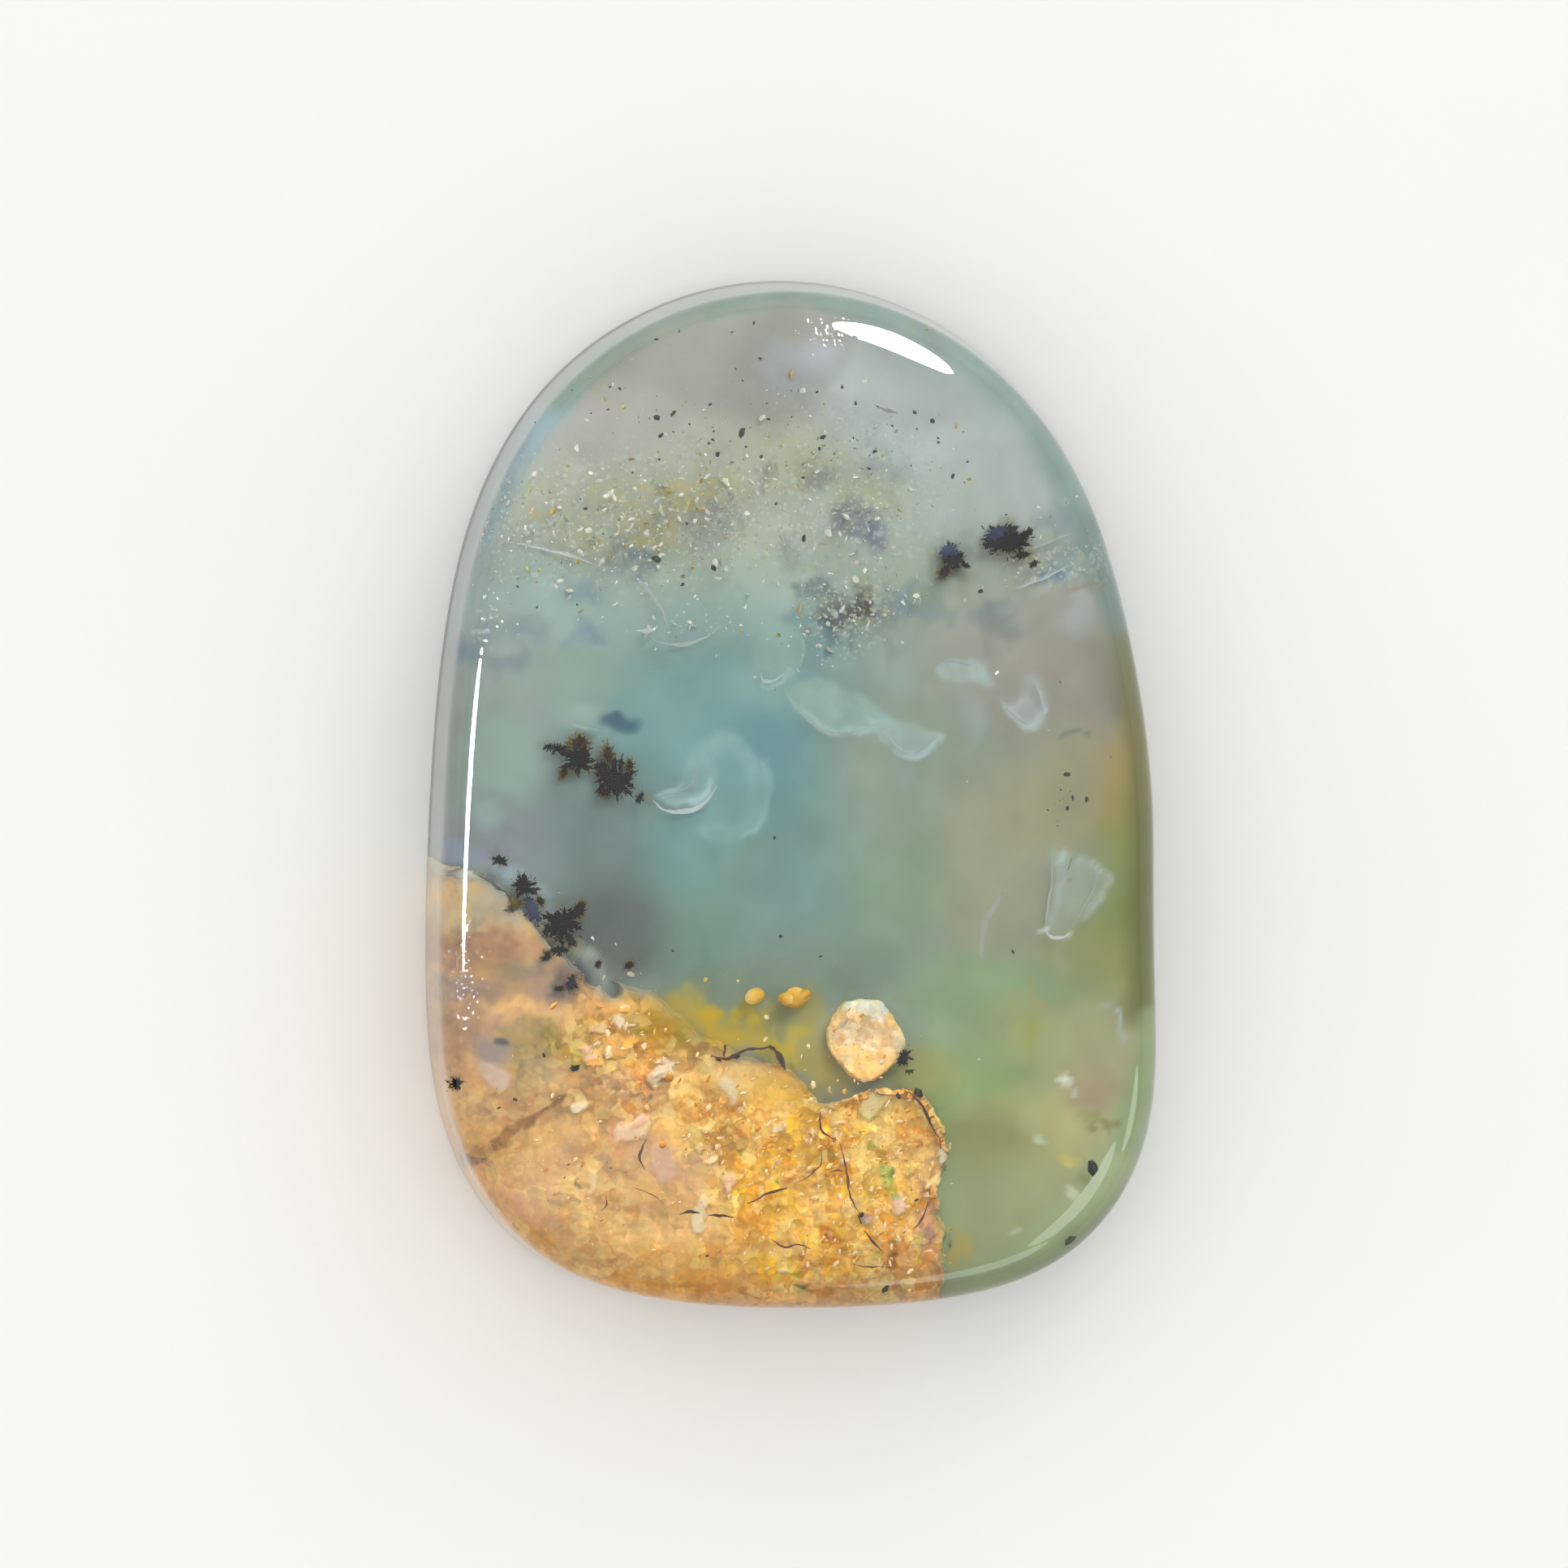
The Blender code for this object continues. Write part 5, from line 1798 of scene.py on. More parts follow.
@dataclass
class MossGrowths:
    """The dark moss-like growths: ragged plates with narrow blades and crumbs round them."""

    skin: PolishedSkin
    finish: MossFinish = MossFinish()
    layers: int = 3
    layer_gap: float = 0.07
    blades: int = 18
    crumbs: int = 22
    largeness: float = 1.3
    seed: int = 14
    # One blade's outline, from its root at the left to its tip, as shares of its length
    blade_outline: tuple[Place, ...] = (
        (-0.1, -0.12), (0.3, -0.14), (0.45, -0.34), (0.55, -0.12), (1.0, 0.02), (0.7, 0.1), (0.62, 0.32),
        (0.4, 0.13), (0.2, 0.26), (0.1, 0.1), (-0.1, 0.08),
    )

    def _plate(self, seed: int) -> Shape:
        """A thin plate with a ragged outline, modelled once and copied."""
        draw = np.random.default_rng(seed)
        count = 36
        turn = np.arange(count) * math.tau / count
        reach = draw.uniform(0.45, 0.8, count)
        reach[::3] = draw.uniform(0.75, 1.3, len(reach[::3]))
        outline = np.column_stack([np.cos(turn), np.sin(turn)]) * reach[:, None]
        return Shape.take(Bench.slab(outline, 0.18))

    def _blade(self, seed: int) -> Shape:
        """A thin pointed blade with barbs, modelled once and copied."""
        draw = np.random.default_rng(seed)
        outline = np.array(self.blade_outline)
        return Shape.take(Bench.slab(outline + draw.uniform(-0.06, 0.06, outline.shape), 0.1))

    def build(self, effects: Effects) -> bpy.types.Object:
        """Models and dresses the growths, and takes and gives what PolishedSkin.build does."""
        plates = [self._plate(seed) for seed in (3, 8, 21, 34)]
        blades = [self._blade(seed) for seed in (4, 9, 22)]
        draw = np.random.default_rng(self.seed)
        crowd = Crowd("fringe")
        for tuft in TUFTS:
            heading = math.radians(tuft.degrees)
            whole = tuft.size * self.largeness
            for layer in range(self.layers):
                plate = plates[int(draw.integers(len(plates)))]
                shift = draw.uniform(-0.2, 0.2, 2) * whole
                spot = (tuft.place[0] + shift[0], tuft.place[1] + shift[1])
                where = self.skin.under(spot, tuft.depth + self.layer_gap * layer)
                tilt = Euler((*draw.uniform(-0.35, 0.35, 2), heading)).to_matrix()
                size = whole * (0.78 - 0.12 * layer)
                sizes = Vector((size * tuft.stretch**0.5, size / tuft.stretch**0.5, 0.25 * size)) * MM
                reach = np.linalg.norm(plate.points[:, :2], axis=1)
                crowd.add(plate, where, tilt, sizes, tuft.fringe + (reach - 0.6) * 0.3)
            for index in range(self.blades + self.crumbs):
                crumb = index >= self.blades
                blade = blades[int(draw.integers(len(blades)))]
                way = float(draw.uniform(0, math.tau))
                out = np.array([math.cos(way) * tuft.stretch**0.5, math.sin(way) / tuft.stretch**0.5])
                out *= whole * (float(draw.uniform(0.5, 1.15)) if crumb else 0.42)
                turned = Matrix.Rotation(heading, 2) @ Vector(out)
                spot = (tuft.place[0] + turned.x, tuft.place[1] + turned.y)
                where = self.skin.under(spot, tuft.depth + float(draw.uniform(0.0, 0.16)))
                length = whole * float(draw.uniform(0.14, 0.34) if crumb else draw.uniform(0.4, 0.95))
                bearing = math.atan2(turned.y, turned.x) + float(draw.normal() * 0.5)
                turn = Euler((float(draw.uniform(-0.6, 0.6)), float(draw.uniform(-0.4, 0.4)), bearing))
                sizes = Vector((length, length * 0.6, length * 0.7)) * MM
                fray = (0.55 if crumb else 0.15) + 0.7 * blade.points[:, 0]
                values = tuft.fringe + fray * (0.25 if tuft.fringe < -0.3 else 1.0)
                crowd.add(blade, where, turn.to_matrix(), sizes, values)
        piece = crowd.gather("moss_growths")
        return Bench.deliver(piece, "moss_growths", self.finish.build(effects))


@dataclass(frozen=True)
class Seam:
    """A thin healed crack in the clear skin, in millimetres. Its tone runs from dark to white."""

    route: tuple[Place, ...]
    width: float
    tone: float = 0.8


@dataclass
class Ribbons:
    """Thin seams in the stone, as narrow ribbons that follow the crown at their depth."""

    skin: PolishedSkin
    finish: GrainFinish
    seams: tuple[Seam, ...]
    depth: float = 0.45
    height: float = 0.015
    waver: float = 0.022
    # How wide the ends are as a share of the middle, and how far the width swells and shrinks
    ends: float = 0.25
    swell: float = 0.35

    def _ribbon(self, seam: Seam) -> Shape:
        """One ribbon, narrower towards its ends."""
        route = rounded(np.array(seam.route), False, 3)
        swings = [Growth(seed).swing(route, 5.0, 2) for seed in (81, 83)]
        route = route + self.waver * np.column_stack(swings)
        along = np.gradient(route, axis=0)
        across = np.column_stack([-along[:, 1], along[:, 0]]) / np.linalg.norm(along, axis=1)[:, None]
        taper = self.ends + (1 - self.ends) * np.sin(np.pi * np.linspace(0, 1, len(route)))
        width = seam.width * taper * (1 + self.swell * Growth(85).swing(route, 4.0, 2))
        half = across * 0.5 * width[:, None]
        outline = np.concatenate([route + half, (route - half)[::-1]])
        spots = np.array([self.skin.under((x, y), self.depth) for x, y in outline])
        piece = Bench.slab(spots[:, :2], self.height * MM)
        points = Bench.points(piece)
        apart = np.linalg.norm(points[:, None, :2] - spots[None, :, :2], axis=2)
        points[:, 2] += spots[apart.argmin(1), 2]
        Bench.set_points(piece, points)
        return Shape.take(piece)

    def build(self, effects: Effects) -> bpy.types.Object:
        """Models and dresses the ribbons, and takes and gives what PolishedSkin.build does."""
        crowd = Crowd("tone")
        for seam in self.seams:
            ribbon = self._ribbon(seam)
            values = np.full(len(ribbon.points), seam.tone)
            crowd.add(ribbon, Vector(), Matrix.Identity(3), Vector((1, 1, 1)), values)
        return Bench.deliver(crowd.gather(self.finish.name), self.finish.name, self.finish.build(effects))


@dataclass(frozen=True)
class Drift:
    """A drift of grains scattered about a place, in millimetres."""

    place: Place
    spread: Place
    count: int
    largest: float
    degrees: float = 0.0


def drift_rows(*rows: tuple[float, ...]) -> tuple[Drift, ...]:
    """Drifts from rows of x, y, both spreads, count and largest, and degrees where one is turned."""
    return tuple(Drift((x, y), (along, across), *own) for x, y, along, across, *own in rows)


@dataclass
class Grains:
    """The grains of one kind that float in the clear skin."""

    skin: PolishedSkin
    finish: GrainFinish
    drifts: tuple[Drift, ...]
    chosen: tuple[tuple[float, float, float], ...]
    seed: int
    depths: Place = (0.05, 0.55)
    flat: float = 0.5
    narrow: Place = (0.45, 0.9)
    tumble: float = math.pi
    heading: float = 0.0
    spread: float = math.pi
    largeness: float = 1.0
    # How much each grain is painted lighter on one side and darker on the other, as light and shade
    shaded: float = 0.3
    round_cuts: bool = False
    # The smallest grain as a share of a drift's largest, and how rare the large ones are
    smallest: float = 0.25
    rareness: float = 2.2

    def _shard(self, cuts: int, seed: int) -> Shape:
        """A small crystal: a stub or a ball, cut flat on several sides."""
        Bench.clear()
        reach = (0.8, 0.95) if self.round_cuts else (0.35, 0.7)
        if self.round_cuts:
            bpy.ops.mesh.primitive_ico_sphere_add(subdivisions=3, radius=1.0)
        else:
            bpy.ops.mesh.primitive_cone_add(vertices=5, radius1=1.0, radius2=0.4, depth=1.3)
        piece = bpy.context.object
        draw = np.random.default_rng(seed)
        bpy.ops.object.mode_set(mode="EDIT")
        for _ in range(cuts):
            outward = Vector(draw.normal(size=3)).normalized()
            bpy.ops.mesh.select_all(action="SELECT")
            spot = outward * float(draw.uniform(*reach))
            bpy.ops.mesh.bisect(plane_co=spot, plane_no=outward, use_fill=True, clear_outer=True)
        bpy.ops.object.mode_set(mode="OBJECT")
        return Shape.take(piece)

    def build(self, effects: Effects) -> bpy.types.Object:
        """Models and dresses the grains, and takes and gives what PolishedSkin.build does."""
        shards = [self._shard(cuts, self.seed + cuts) for cuts in (2, 3, 4)]
        draw = np.random.default_rng(self.seed)
        crowd = Crowd("tone")
        spots = list(self.chosen)
        for drift in self.drifts:
            heading = Matrix.Rotation(math.radians(drift.degrees), 2)
            for _ in range(drift.count):
                shift = heading @ Vector(draw.normal(size=2) * np.array(drift.spread))
                grown = float(draw.random()) ** self.rareness
                size = drift.largest * (self.smallest + (1 - self.smallest) * grown)
                spots.append((drift.place[0] + shift.x, drift.place[1] + shift.y, size))
        low, high = self.depths
        for x, y, size in spots:
            shard = shards[int(draw.integers(len(shards)))]
            depth = low + (high - low) * float(draw.random())
            yaw = self.heading + float(draw.uniform(-self.spread, self.spread))
            turn = Euler((*draw.uniform(-self.tumble, self.tumble, 2), yaw)).to_matrix()
            sizes = Vector((1.0, float(draw.uniform(*self.narrow)), self.flat)) * size * self.largeness * MM
            # Painted light and shade across each grain
            values = np.clip(float(draw.random()) + self.shaded * shard.points[:, 1], 0.0, 1.0)
            crowd.add(shard, self.skin.under((x, y), depth + size * 0.5), turn, sizes, values)
        return Bench.deliver(crowd.gather(self.finish.name), self.finish.name, self.finish.build(effects))


@dataclass(frozen=True)
class Softbox:
    """A light that only the polish mirrors, set where its highlight falls at a place.

    The place is in millimetres in the picture, the sizes are in metres, and the power is in
    watts for each square metre.
    """

    name: str
    place: Place
    size: Place
    power: float
    turn: float = 0.0
    distance: float = 0.4

    def stand(self, skin: PolishedSkin) -> None:
        """Stands the light where the skin mirrors it to the camera."""
        spot, normal = skin.meet(self.place)
        to_eye = (skin.view.eye() - spot).normalized()
        mirrored = (2 * normal.dot(to_eye) * normal - to_eye).normalized()
        LOG.info("%s: %.0f degrees up", self.name, math.degrees(math.asin(mirrored.z)))
        data = bpy.data.lights.new(self.name, "AREA")
        data.shape = "ELLIPSE"
        data.size, data.size_y = self.size
        data.energy = self.power * self.size[0] * self.size[1]
        light = bpy.data.objects.new(self.name, data)
        bpy.context.scene.collection.objects.link(light)
        facing = mirrored.to_track_quat("Z", "Y").to_matrix().to_4x4()
        roll = Matrix.Rotation(math.radians(self.turn), 4, "Z")
        light.matrix_world = Matrix.Translation(spot + mirrored * self.distance) @ facing @ roll
        light.visible_diffuse = False
        light.visible_transmission = False
        light.visible_camera = False


@dataclass
class Studio:
    """A pale floor, a soft sky, softboxes and the camera."""

    view: View
    sensor: float = 36.0
    floor_radius: float = 0.6
    floor_tint: Tint = 0xF1F0ED
    floor_shade: Tint = 0xECEBE8
    # The sky is brightest where it looks this way, and dims at the horizon between these heights
    bright_side: tuple[float, float, float] = (-0.35, 0.4, 0.85)
    bright_sky: Colour = (1.66, 1.64, 1.6, 1.0)
    plain_sky: Colour = (1.24, 1.26, 1.28, 1.0)
    horizon: Place = (0.02, 0.25)
    horizon_share: float = 0.6
    sky_strength: float = 0.73
    softboxes: tuple[Softbox, ...] = (
        Softbox("left_strip", (-7.9, 0.55), (0.084, 0.048), 420.0),
        Softbox("upper_right_box", (2.62, 11.12), (0.165, 0.17), 225.0),
        Softbox("head_rim", (-0.4, 12.48), (0.34, 0.05), 40.0),
        Softbox("right_rim", (8.45, -8.0), (0.11, 0.08), 9.0),
        Softbox("lower_right_rim", (7.2, -10.1), (0.26, 0.11), 9.0),
        Softbox("foot_rim", (5.0, -11.7), (0.2, 0.09), 7.0),
    )

    def floor(self) -> None:
        """Lays the floor, a wide disc with a fine grain in its finish."""
        Bench.clear()
        bpy.ops.mesh.primitive_circle_add(vertices=96, radius=self.floor_radius, fill_type="NGON")
        piece = bpy.context.object
        piece.name = "studio_floor"
        material, sheet, shader = new_material("studio_floor", Roughness=0.9)
        tone = sheet.noise(sheet.millimetres(), 0.05, 3.0).outputs[0]
        colour = sheet.blend(tone, paint(self.floor_tint), paint(self.floor_shade))
        sheet.feed(shader.inputs["Base Color"], colour)
        piece.data.materials.append(material)

    def sky(self) -> None:
        """Sets a soft sky, brighter towards the upper left and darker at the horizon."""
        world = bpy.data.worlds.new("studio_sky")
        bpy.context.scene.world = world
        world.cycles.sampling_method = "NONE"
        world.use_nodes = True
        sheet = Sheet(world.node_tree)
        heading = sheet.node("ShaderNodeTexCoord").outputs["Generated"]
        bright = tuple(Vector(self.bright_side).normalized())
        facing = sheet.vector("DOT_PRODUCT", heading, bright).outputs["Value"]
        colour = sheet.blend(sheet.ease(facing, 0.2, 1.0), self.plain_sky, self.bright_sky)
        height = sheet.vector("DOT_PRODUCT", heading, (0.0, 0.0, 1.0)).outputs["Value"]
        lifted = sheet.ease(height, *self.horizon, self.horizon_share, 1.0)
        background = world.node_tree.nodes["Background"]
        sheet.feed(background.inputs["Color"], sheet.vector("SCALE", colour, lifted).outputs[0])
        background.inputs["Strength"].default_value = self.sky_strength

    def camera(self) -> None:
        """Stands the camera over the stone, with the stone's head up in the picture."""
        data = bpy.data.cameras.new("overhead")
        camera = bpy.data.objects.new("overhead", data)
        bpy.context.scene.collection.objects.link(camera)
        data.sensor_width = self.sensor
        data.lens = self.sensor * self.view.eye_distance / self.view.frame_width
        data.clip_start = 0.01
        data.clip_end = 10.0
        back = (self.view.eye() - self.view.target()).normalized()
        right = Vector((0, 1, 0)).cross(back).normalized()
        upward = back.cross(right)
        facing = Matrix((right, upward, back)).transposed().to_4x4()
        camera.matrix_world = Matrix.Translation(self.view.eye()) @ facing
        bpy.context.scene.camera = camera

    def build(self, skin: PolishedSkin) -> None:
        """Sets up the whole studio round the polished skin."""
        self.floor()
        self.sky()
        for softbox in self.softboxes:
            softbox.stand(skin)
        self.camera()
        bpy.context.scene.view_settings.view_transform = "Standard"


def healed_seams(skin: PolishedSkin) -> Ribbons:
    """The thin healed cracks and the bright edges of the veils."""
    tints = (0x42301E, 0x7A7054, 0xAABCB6, 0xE2EEEA)
    seams = (
        # Across the band of grains
        Seam(((-6.98, 6.24), (-6, 6.06), (-5.3, 5.86), (-4.64, 5.6)), 0.09, 0.9),
        Seam(((-3.94, 5.48), (-3.56, 5.16), (-3.18, 4.66), (-3.02, 4.16)), 0.07),
        Seam(((-3.3, 3.78), (-2.86, 3.68), (-2.22, 3.78), (-1.72, 4.16)), 0.08),
        Seam(((-3.8, 4.04), (-3.5, 4.02), (-3.24, 4.16)), 0.11, 1),
        Seam(((-3.6, 3.86), (-3.4, 4.1)), 0.08, 0.95),
        # Round the large veil and the small curl beside it
        Seam(((-0.72, 2.98), (-0.66, 2.76), (-0.4, 2.76), (-0.16, 2.98)), 0.07, 0.9),
        Seam(((-0.14, 2.56), (0.2, 2.04), (0.6, 1.66), (1.1, 1.46), (1.7, 1.56), (2.2, 1.76)), 0.07, 0.7),
        Seam(((2.2, 1.7), (2.5, 1.4), (2.74, 1.04), (3.06, 0.96), (3.4, 1.2), (3.66, 1.44)), 0.07, 0.72),
        # The leaf in the curl
        Seam(((-3.36, -0.14), (-3.16, -0.4), (-2.6, -0.44), (-2.2, -0.3), (-1.96, -0.04), (-1.8, 0.2)), 0.1,
            0.95),
        Seam(((-3.36, -0.14), (-3.1, 0), (-2.7, 0.06), (-2.46, 0.2), (-2.3, 0.5), (-2.1, 0.8)), 0.05, 0.7),
        # The bell near the right edge
        Seam(((6.3, -3.36), (6.45, -3.56), (6.7, -3.58), (6.92, -3.46)), 0.08, 1),
        Seam(((6.5, -1.3), (6.5, -2.2), (6.34, -3), (6.28, -3.4)), 0.05, 0.75),
        Seam(((7.1, -1.5), (7.66, -2.1), (7.3, -2.8), (7, -3.3)), 0.04, 0.7),
        Seam(((6.98, -1.6), (6.86, -1.9)), 0.06, 0.2),
        # Other veils' edges
        Seam(((3.46, 3.24), (4, 3.3), (4.5, 3.16)), 0.05, 0.75),
        Seam(((5.74, 2.9), (6.2, 2.6), (6.3, 1.8)), 0.06, 0.75),
        Seam(((5.14, 2.36), (5.5, 1.9), (5.9, 1.66)), 0.06, 0.78),
        Seam(((-5.7, 1.9), (-5.4, 1.74), (-5.1, 1.66), (-4.76, 1.6)), 0.07),
        Seam(((5.6, 5.06), (6.2, 5.3), (6.9, 5.62)), 0.08),
        Seam(((5.8, 5.98), (6.4, 6.2), (6.9, 6.4)), 0.04),
        Seam(((2.1, 9.56), (2.4, 9.44), (2.66, 9.36)), 0.08, 0.5),
    )
    return Ribbons(skin, GrainFinish("healed_seams", tints, 0.4, 0.62), seams)


def rock_cracks(skin: PolishedSkin) -> Ribbons:
    """The thin dark cracks across the host rock."""
    seams = (
        # Along the rock's upper edge
        Seam(((-2, -6.44), (-1.58, -6.56), (-1.34, -6.44), (-1.06, -6.26), (-0.7, -6.28), (-0.46, -6.22)),
            0.1, 0.3),
        Seam(((-0.46, -6.22), (-0.3, -6.44), (-0.2, -6.6), (-0.14, -6.8)), 0.13, 0.2),
        Seam(((-1.6, -6.16), (-1.66, -6.36), (-1.6, -6.54)), 0.06, 0.5),
        # Across its face
        Seam(((-2.75, -10.35), (-2.6, -10.27), (-2.4, -10.3), (-2.25, -10.34)), 0.0875, 0.2),
        Seam(((-2.05, -10.38), (-1.7, -10.4), (-1.4, -10.44)), 0.0875, 0.2),
        Seam(((-1.05, -10.1), (-0.6, -9.88), (-0.1, -9.74)), 0.0875, 0.2),
        Seam(((0.1, -9.62), (0.5, -9.4), (0.72, -9.2), (0.78, -8.95), (0.7, -8.8)), 0.0375, 0.5),
        Seam(((0.74, -7.84), (0.72, -8.2), (0.9, -8.45), (1.16, -8.56)), 0.0688, 0.2),
        Seam(((1.2, -8.6), (1.34, -9), (1.4, -9.4), (1.44, -9.9), (1.6, -10.2), (1.74, -10.4)), 0.0562,
            0.5),
        Seam(((1.66, -10.4), (1.74, -10.62)), 0.1, 0.2),
        Seam(((1.84, -10.8), (2.06, -11.1), (2.26, -11.3)), 0.075, 0.2),
        Seam(((0.94, -9.34), (1.2, -9.3), (1.3, -9.34)), 0.0375, 0.5),
        Seam(((2.9, -7.36), (3.2, -7.6), (3.34, -7.9), (3.5, -8.2), (3.66, -8.5)), 0.075, 0.2),
        Seam(((3.68, -8.5), (3.72, -8.8)), 0.0625, 0.5),
        Seam(((3.4, -10.1), (3.3, -10.5), (3, -10.8)), 0.05, 0.5),
        Seam(((-0.5, -11), (-0.2, -11.2), (0.2, -11.1), (0.5, -11.24)), 0.0562, 0.5),
        Seam(((1.5, -11.6), (2, -11.7), (2.5, -11.7)), 0.0375, 0.5),
        Seam(((-3.58, -8.5), (-3.7, -8.76), (-3.76, -9), (-3.6, -9.24)), 0.0625, 0.5),
        Seam(((-4.6, -9.9), (-4.5, -10.1), (-4.7, -10.25)), 0.0375, 0.5),
        Seam(((-3.9, -9.7), (-3.5, -9.8), (-3.1, -10.1)), 0.0312, 0.5),
    )
    return Ribbons(skin, GrainFinish("rock_cracks", (0x3E2614, 0x684222, 0x96683C), 0.7), seams, depth=0.1)


def clear_grains(skin: PolishedSkin) -> Grains:
    """The white and glassy grains, most of them in a band across the head."""
    tints = (0x9EACA4, 0xBECABE, 0xCED8C8, 0xE0E6D0, 0xEEF2E2, 0xFFFFFC)
    finish = GrainFinish("clear_grains", tints, 0.15, 0.92)
    drifts = drift_rows(
        (-6.9, 6, 0.6, 0.7, 90, 0.1), (-5.2, 6.7, 1.1, 0.8, 110, 0.13, -8),
        (-3.4, 6.9, 1.3, 0.8, 150, 0.14), (-1.8, 6.8, 1.1, 0.8, 100, 0.14), (-4.4, 5.8, 1.6, 0.5, 60, 0.12),
        (-2.2, 4.4, 1.4, 0.4, 50, 0.11), (0.6, 8.2, 1.6, 0.9, 100, 0.11), (1.6, 6.7, 0.9, 0.9, 70, 0.14),
        (-2.8, 8.4, 2.2, 0.8, 70, 0.09), (1.2, 4.4, 0.6, 0.6, 80, 0.13), (2.9, 4.8, 0.7, 0.4, 40, 0.1),
        (0.9, 3.6, 0.7, 0.3, 30, 0.09, 25), (-3.1, 4.1, 0.5, 0.15, 18, 0.1, 8),
        (6.5, 5.7, 0.8, 0.22, 60, 0.07, 22), (6.3, 7, 0.4, 0.3, 16, 0.07),
        (0.3, 11.6, 0.25, 0.15, 12, 0.05), (-8, -4.4, 0.15, 0.8, 22, 0.06),
        (-4.4, -4.6, 0.7, 0.4, 30, 0.07), (0, 8.8, 4, 1.4, 60, 0.05),
    )
    chosen = (
        (-7.46, 6.5, 0.13), (-7.02, 7.48, 0.06), (-4.5, 7.0, 0.06), (-3.9, 6.5, 0.12),
        (-2.26, 6.44, 0.13), (-4.0, 6.5, 0.09), (-1.1, 7.6, 0.06), (1.15, 7.05, 0.14), (1.75, 7.1, 0.07),
        (1.08, 6.6, 0.12), (1.94, 6.5, 0.09), (3.0, 7.5, 0.09), (-3.5, 4.14, 0.14), (1.3, 4.5, 0.11),
        (1.9, 4.1, 0.15), (3.1, 4.9, 0.1), (5.1, 3.0, 0.1), (4.66, 3.16, 0.06), (6.38, 1.56, 0.05),
        (4.38, 0.3, 0.04), (3.26, -0.88, 0.04), (1.16, -1.32, 0.035), (0.68, -1.44, 0.035),
        (0.48, -1.42, 0.035), (7.66, 2.96, 0.035), (5.24, -2.46, 0.08), (4.66, -2.56, 0.05),
        (-5.7, -2.4, 0.04), (-2.3, -3.3, 0.05), (-4.6, -4.5, 0.1), (-3.94, -4.4, 0.12),
        (4.66, -6.56, 0.04), (-7.64, -6.1, 0.09),
    )
    return Grains(skin, finish, drifts, chosen, 5, flat=0.3, narrow=(0.3, 0.85), largeness=1.1)


def ochre_grains(skin: PolishedSkin) -> Grains:
    """The yellow and orange grains among the clear ones."""
    tints = (0xD6C468, 0xCEAC30, 0xB0821A, 0xD4D086, 0x969242)
    finish = GrainFinish("ochre_grains", tints, 0.3, 0.9)
    drifts = drift_rows(
        (-2.8, 7.1, 1.1, 0.6, 60, 0.11), (-5.2, 6.6, 1.4, 0.7, 40, 0.1), (0.4, 8.2, 1.2, 0.9, 34, 0.08),
        (2.8, 8.2, 1.2, 1, 20, 0.06), (-3.2, 9.4, 1.8, 0.9, 24, 0.07), (1.4, 5, 0.7, 0.7, 12, 0.06),
    )
    chosen = (
        (-2.52, 7.16, 0.17), (-2.86, 7.06, 0.11), (-5.8, 7.0, 0.14), (-2.66, 5.38, 0.12),
        (-2.4, 5.6, 0.1), (0.02, 10.34, 0.13), (3.34, 11.36, 0.09), (5.44, 9.54, 0.07), (4.1, 9.06, 0.08),
        (-4.1, 9.54, 0.08), (-0.56, 8.84, 0.08), (0.2, 4.6, 0.11), (-1.24, 4.02, 0.09),
        (-0.3, 3.94, 0.08), (-2.3, 6.7, 0.1), (-2.4, 5.62, 0.11), (0.2, 7.6, 0.1), (1.34, 8.46, 0.05),
        (2.7, 7.0, 0.08), (1.7, 7.0, 0.09), (3.5, 7.1, 0.07),
    )
    return Grains(skin, finish, drifts, chosen, 11, flat=0.3, largeness=1.2)


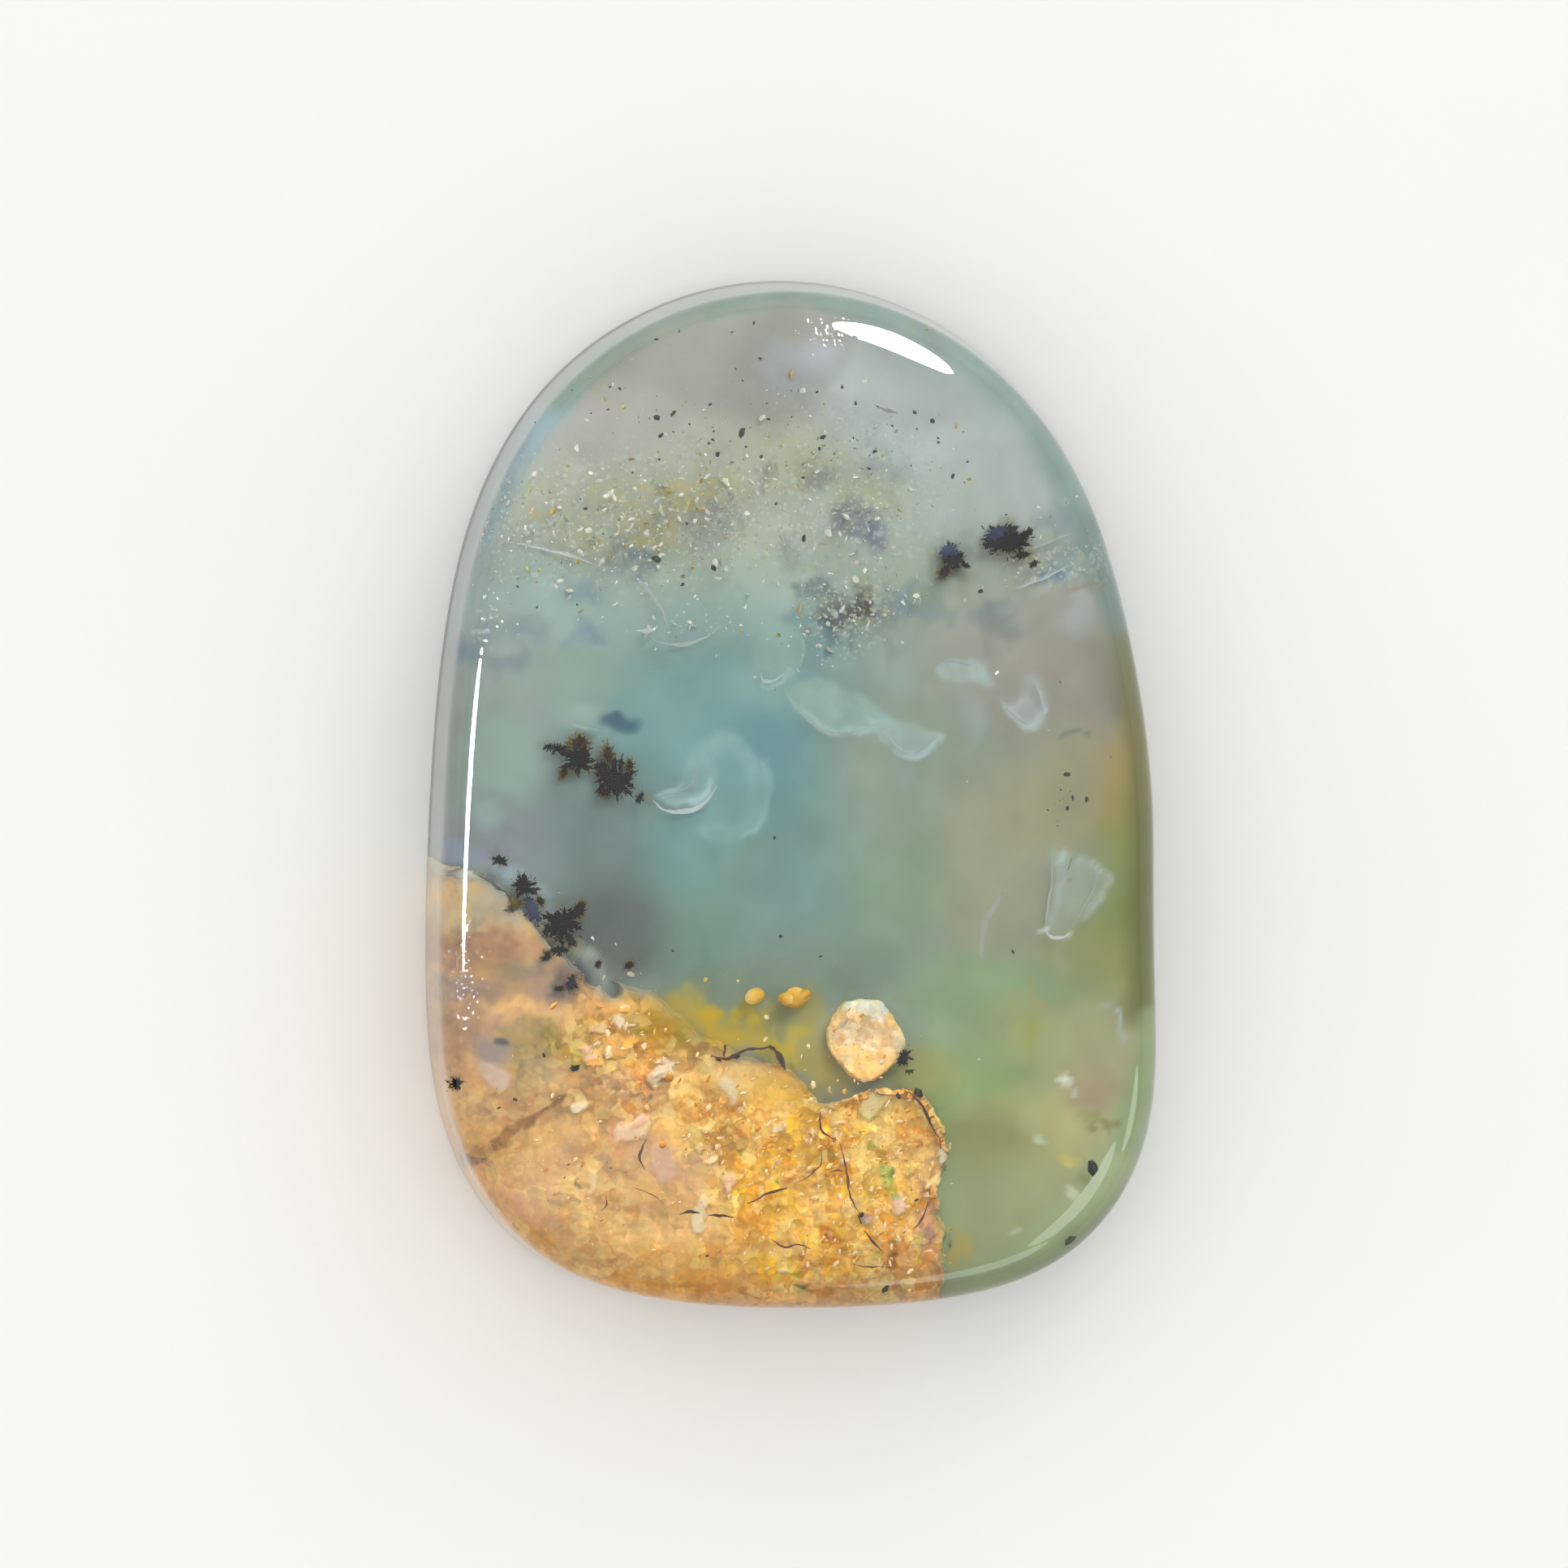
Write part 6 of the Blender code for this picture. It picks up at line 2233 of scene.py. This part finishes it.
def dark_grains(skin: PolishedSkin) -> Grains:
    """The near-black specks."""
    tints = (0x1E1814, 0x3A2E1C, 0x424A28)
    finish = GrainFinish("dark_grains", tints, 0.5)
    drifts = drift_rows(
        (-2.4, 9, 2.2, 0.9, 50, 0.055), (1.4, 8.6, 1.8, 0.9, 36, 0.05), (-4.6, 6.4, 1.8, 0.9, 26, 0.04),
        (6.7, -0.2, 0.35, 0.6, 18, 0.02), (-5, -8.6, 1.8, 1.6, 30, 0.035),
    )
    chosen = (
        (6.84, 0.46, 0.07), (6.98, -0.1, 0.055), (7.32, -0.14, 0.055), (6.86, -0.36, 0.05),
        (6.36, -0.4, 0.03), (6.68, 0.1, 0.03), (-3.3, 5.82, 0.1), (-3.2, 8.86, 0.07), (-3.3, 9.3, 0.06),
        (-2.9, 9.4, 0.08), (-1.18, 8.92, 0.1), (-1.8, 8.4, 0.05), (-4.2, 10.0, 0.04), (0.34, 6.32, 0.07),
        (0.8, 8.8, 0.07), (-3.3, 11.2, 0.05), (-2.74, 11.4, 0.04), (-0.9, 11.6, 0.04),
        (-0.74, 10.74, 0.04), (-1.18, 10.2, 0.035), (-1.9, 5.6, 0.07), (-2.66, 5.2, 0.05),
        (-6.72, 5.16, 0.03), (-6.24, 4.64, 0.03), (-5.26, 4.7, 0.035), (3.06, 9.42, 0.05),
        (3.5, 9.2, 0.05), (4.0, 7.84, 0.06), (4.7, 5.0, 0.05), (0.74, -4.0, 0.045), (-0.26, -3.5, 0.04),
        (5.5, -3.9, 0.045), (-0.4, -1.06, 0.04), (-2.9, -3.84, 0.045), (6.66, 2.76, 0.035),
        (7.5, -9.26, 0.16), (6.9, -11.04, 0.14), (3.16, -7.4, 0.11), (2.66, -7.46, 0.07),
        (2.36, -12.2, 0.12), (3.12, -10.04, 0.06), (1.76, -10.4, 0.07), (-7.2, -7.7, 0.05),
        (-6.8, -7.5, 0.05), (-6.1, -6.4, 0.05),
    )
    shape = {"flat": 0.4, "narrow": (0.5, 1.0), "largeness": 1.5}
    return Grains(skin, finish, drifts, chosen, 17, (0.05, 0.14), tumble=0.5, **shape)


def rock_flecks(skin: PolishedSkin) -> Grains:
    """The cream, white and orange crystals that lie in the host rock."""
    tints = (0xCE8C32, 0xF0B854, 0xFADA8C, 0xFFF6D2, 0xF4CC9E, 0xCEC464)
    finish = GrainFinish("rock_flecks", tints, 0.25)
    drifts = drift_rows(
        (0.6, -9, 1.2, 1.1, 230, 0.14), (2.7, -9.4, 0.6, 1.1, 110, 0.13), (0.9, -11.4, 1.4, 0.4, 80, 0.12),
        (-1.8, -8.2, 0.9, 0.8, 80, 0.14), (-4.2, -6, 0.7, 0.4, 40, 0.15), (-5.6, -8.6, 1, 0.7, 30, 0.08),
        (-3.6, -10.4, 1.6, 0.8, 50, 0.08), (-6.8, -5.6, 0.9, 1.6, 16, 0.05), (1.8, -6.5, 0.4, 0.3, 40, 0.1),
        (1.5, -5.7, 0.35, 0.25, 24, 0.09),
    )
    chosen = (
        (-4.16, -5.3, 0.2), (-4.0, -6.1, 0.24), (-4.5, -6.3, 0.2), (-3.6, -6.2, 0.14),
        (-3.0, -6.95, 0.22), (-1.6, -8.1, 0.14), (-2.0, -8.3, 0.13), (-1.8, -8.7, 0.13),
        (-0.5, -8.1, 0.13), (-4.8, -10.4, 0.08), (0.6, -10.0, 0.12), (2.3, -9.2, 0.09),
    )
    shape = {"flat": 0.3, "narrow": (0.25, 0.7), "largeness": 1.15}
    lie = {"tumble": 0.6, "heading": 0.9, "spread": 0.9}
    return Grains(skin, finish, drifts, chosen, 29, (0.10, 0.2), **shape, **lie)


def amber_beads(skin: PolishedSkin) -> Grains:
    """The two amber beads beside the pebble, and crumbs of the same near them."""
    finish = GrainFinish("amber_beads", (0xCEA032, 0xE8BC54, 0xECD280, 0xE8E2B8), 0.12)
    chosen = (
        (-0.88, -4.98, 0.25), (-0.08, -5.06, 0.22), (0.12, -5.02, 0.26), (0.32, -4.98, 0.2),
        (0.44, -6.22, 0.06), (-0.6, -5.5, 0.07), (-2.1, -4.56, 0.06), (-1.3, -4.6, 0.04),
    )
    shape = {"flat": 0.7, "narrow": (0.85, 1.0), "largeness": 1.1, "round_cuts": True}
    return Grains(skin, finish, (), chosen, 41, (0.12, 0.16), shaded=0.45, **shape)


def main() -> None:
    """Builds the stone from the outside in, then the studio."""
    logging.basicConfig(level=logging.INFO, format="%(name)s: %(message)s")
    effects = Effects()
    form = StoneForm.from_cad()
    view = View()
    skin = PolishedSkin(form, view)
    skin.build(effects)
    CloudedHeart(form, view).build(effects)
    HostRock(form, view).build(effects)
    Pebble(skin).build(effects)
    MossGrowths(skin).build(effects)
    grains = (clear_grains, ochre_grains, dark_grains, rock_flecks, amber_beads)
    for kind in (healed_seams, rock_cracks, *grains):
        kind(skin).build(effects)
    Studio(view).build(skin)


if __name__ == "__main__":
    main()
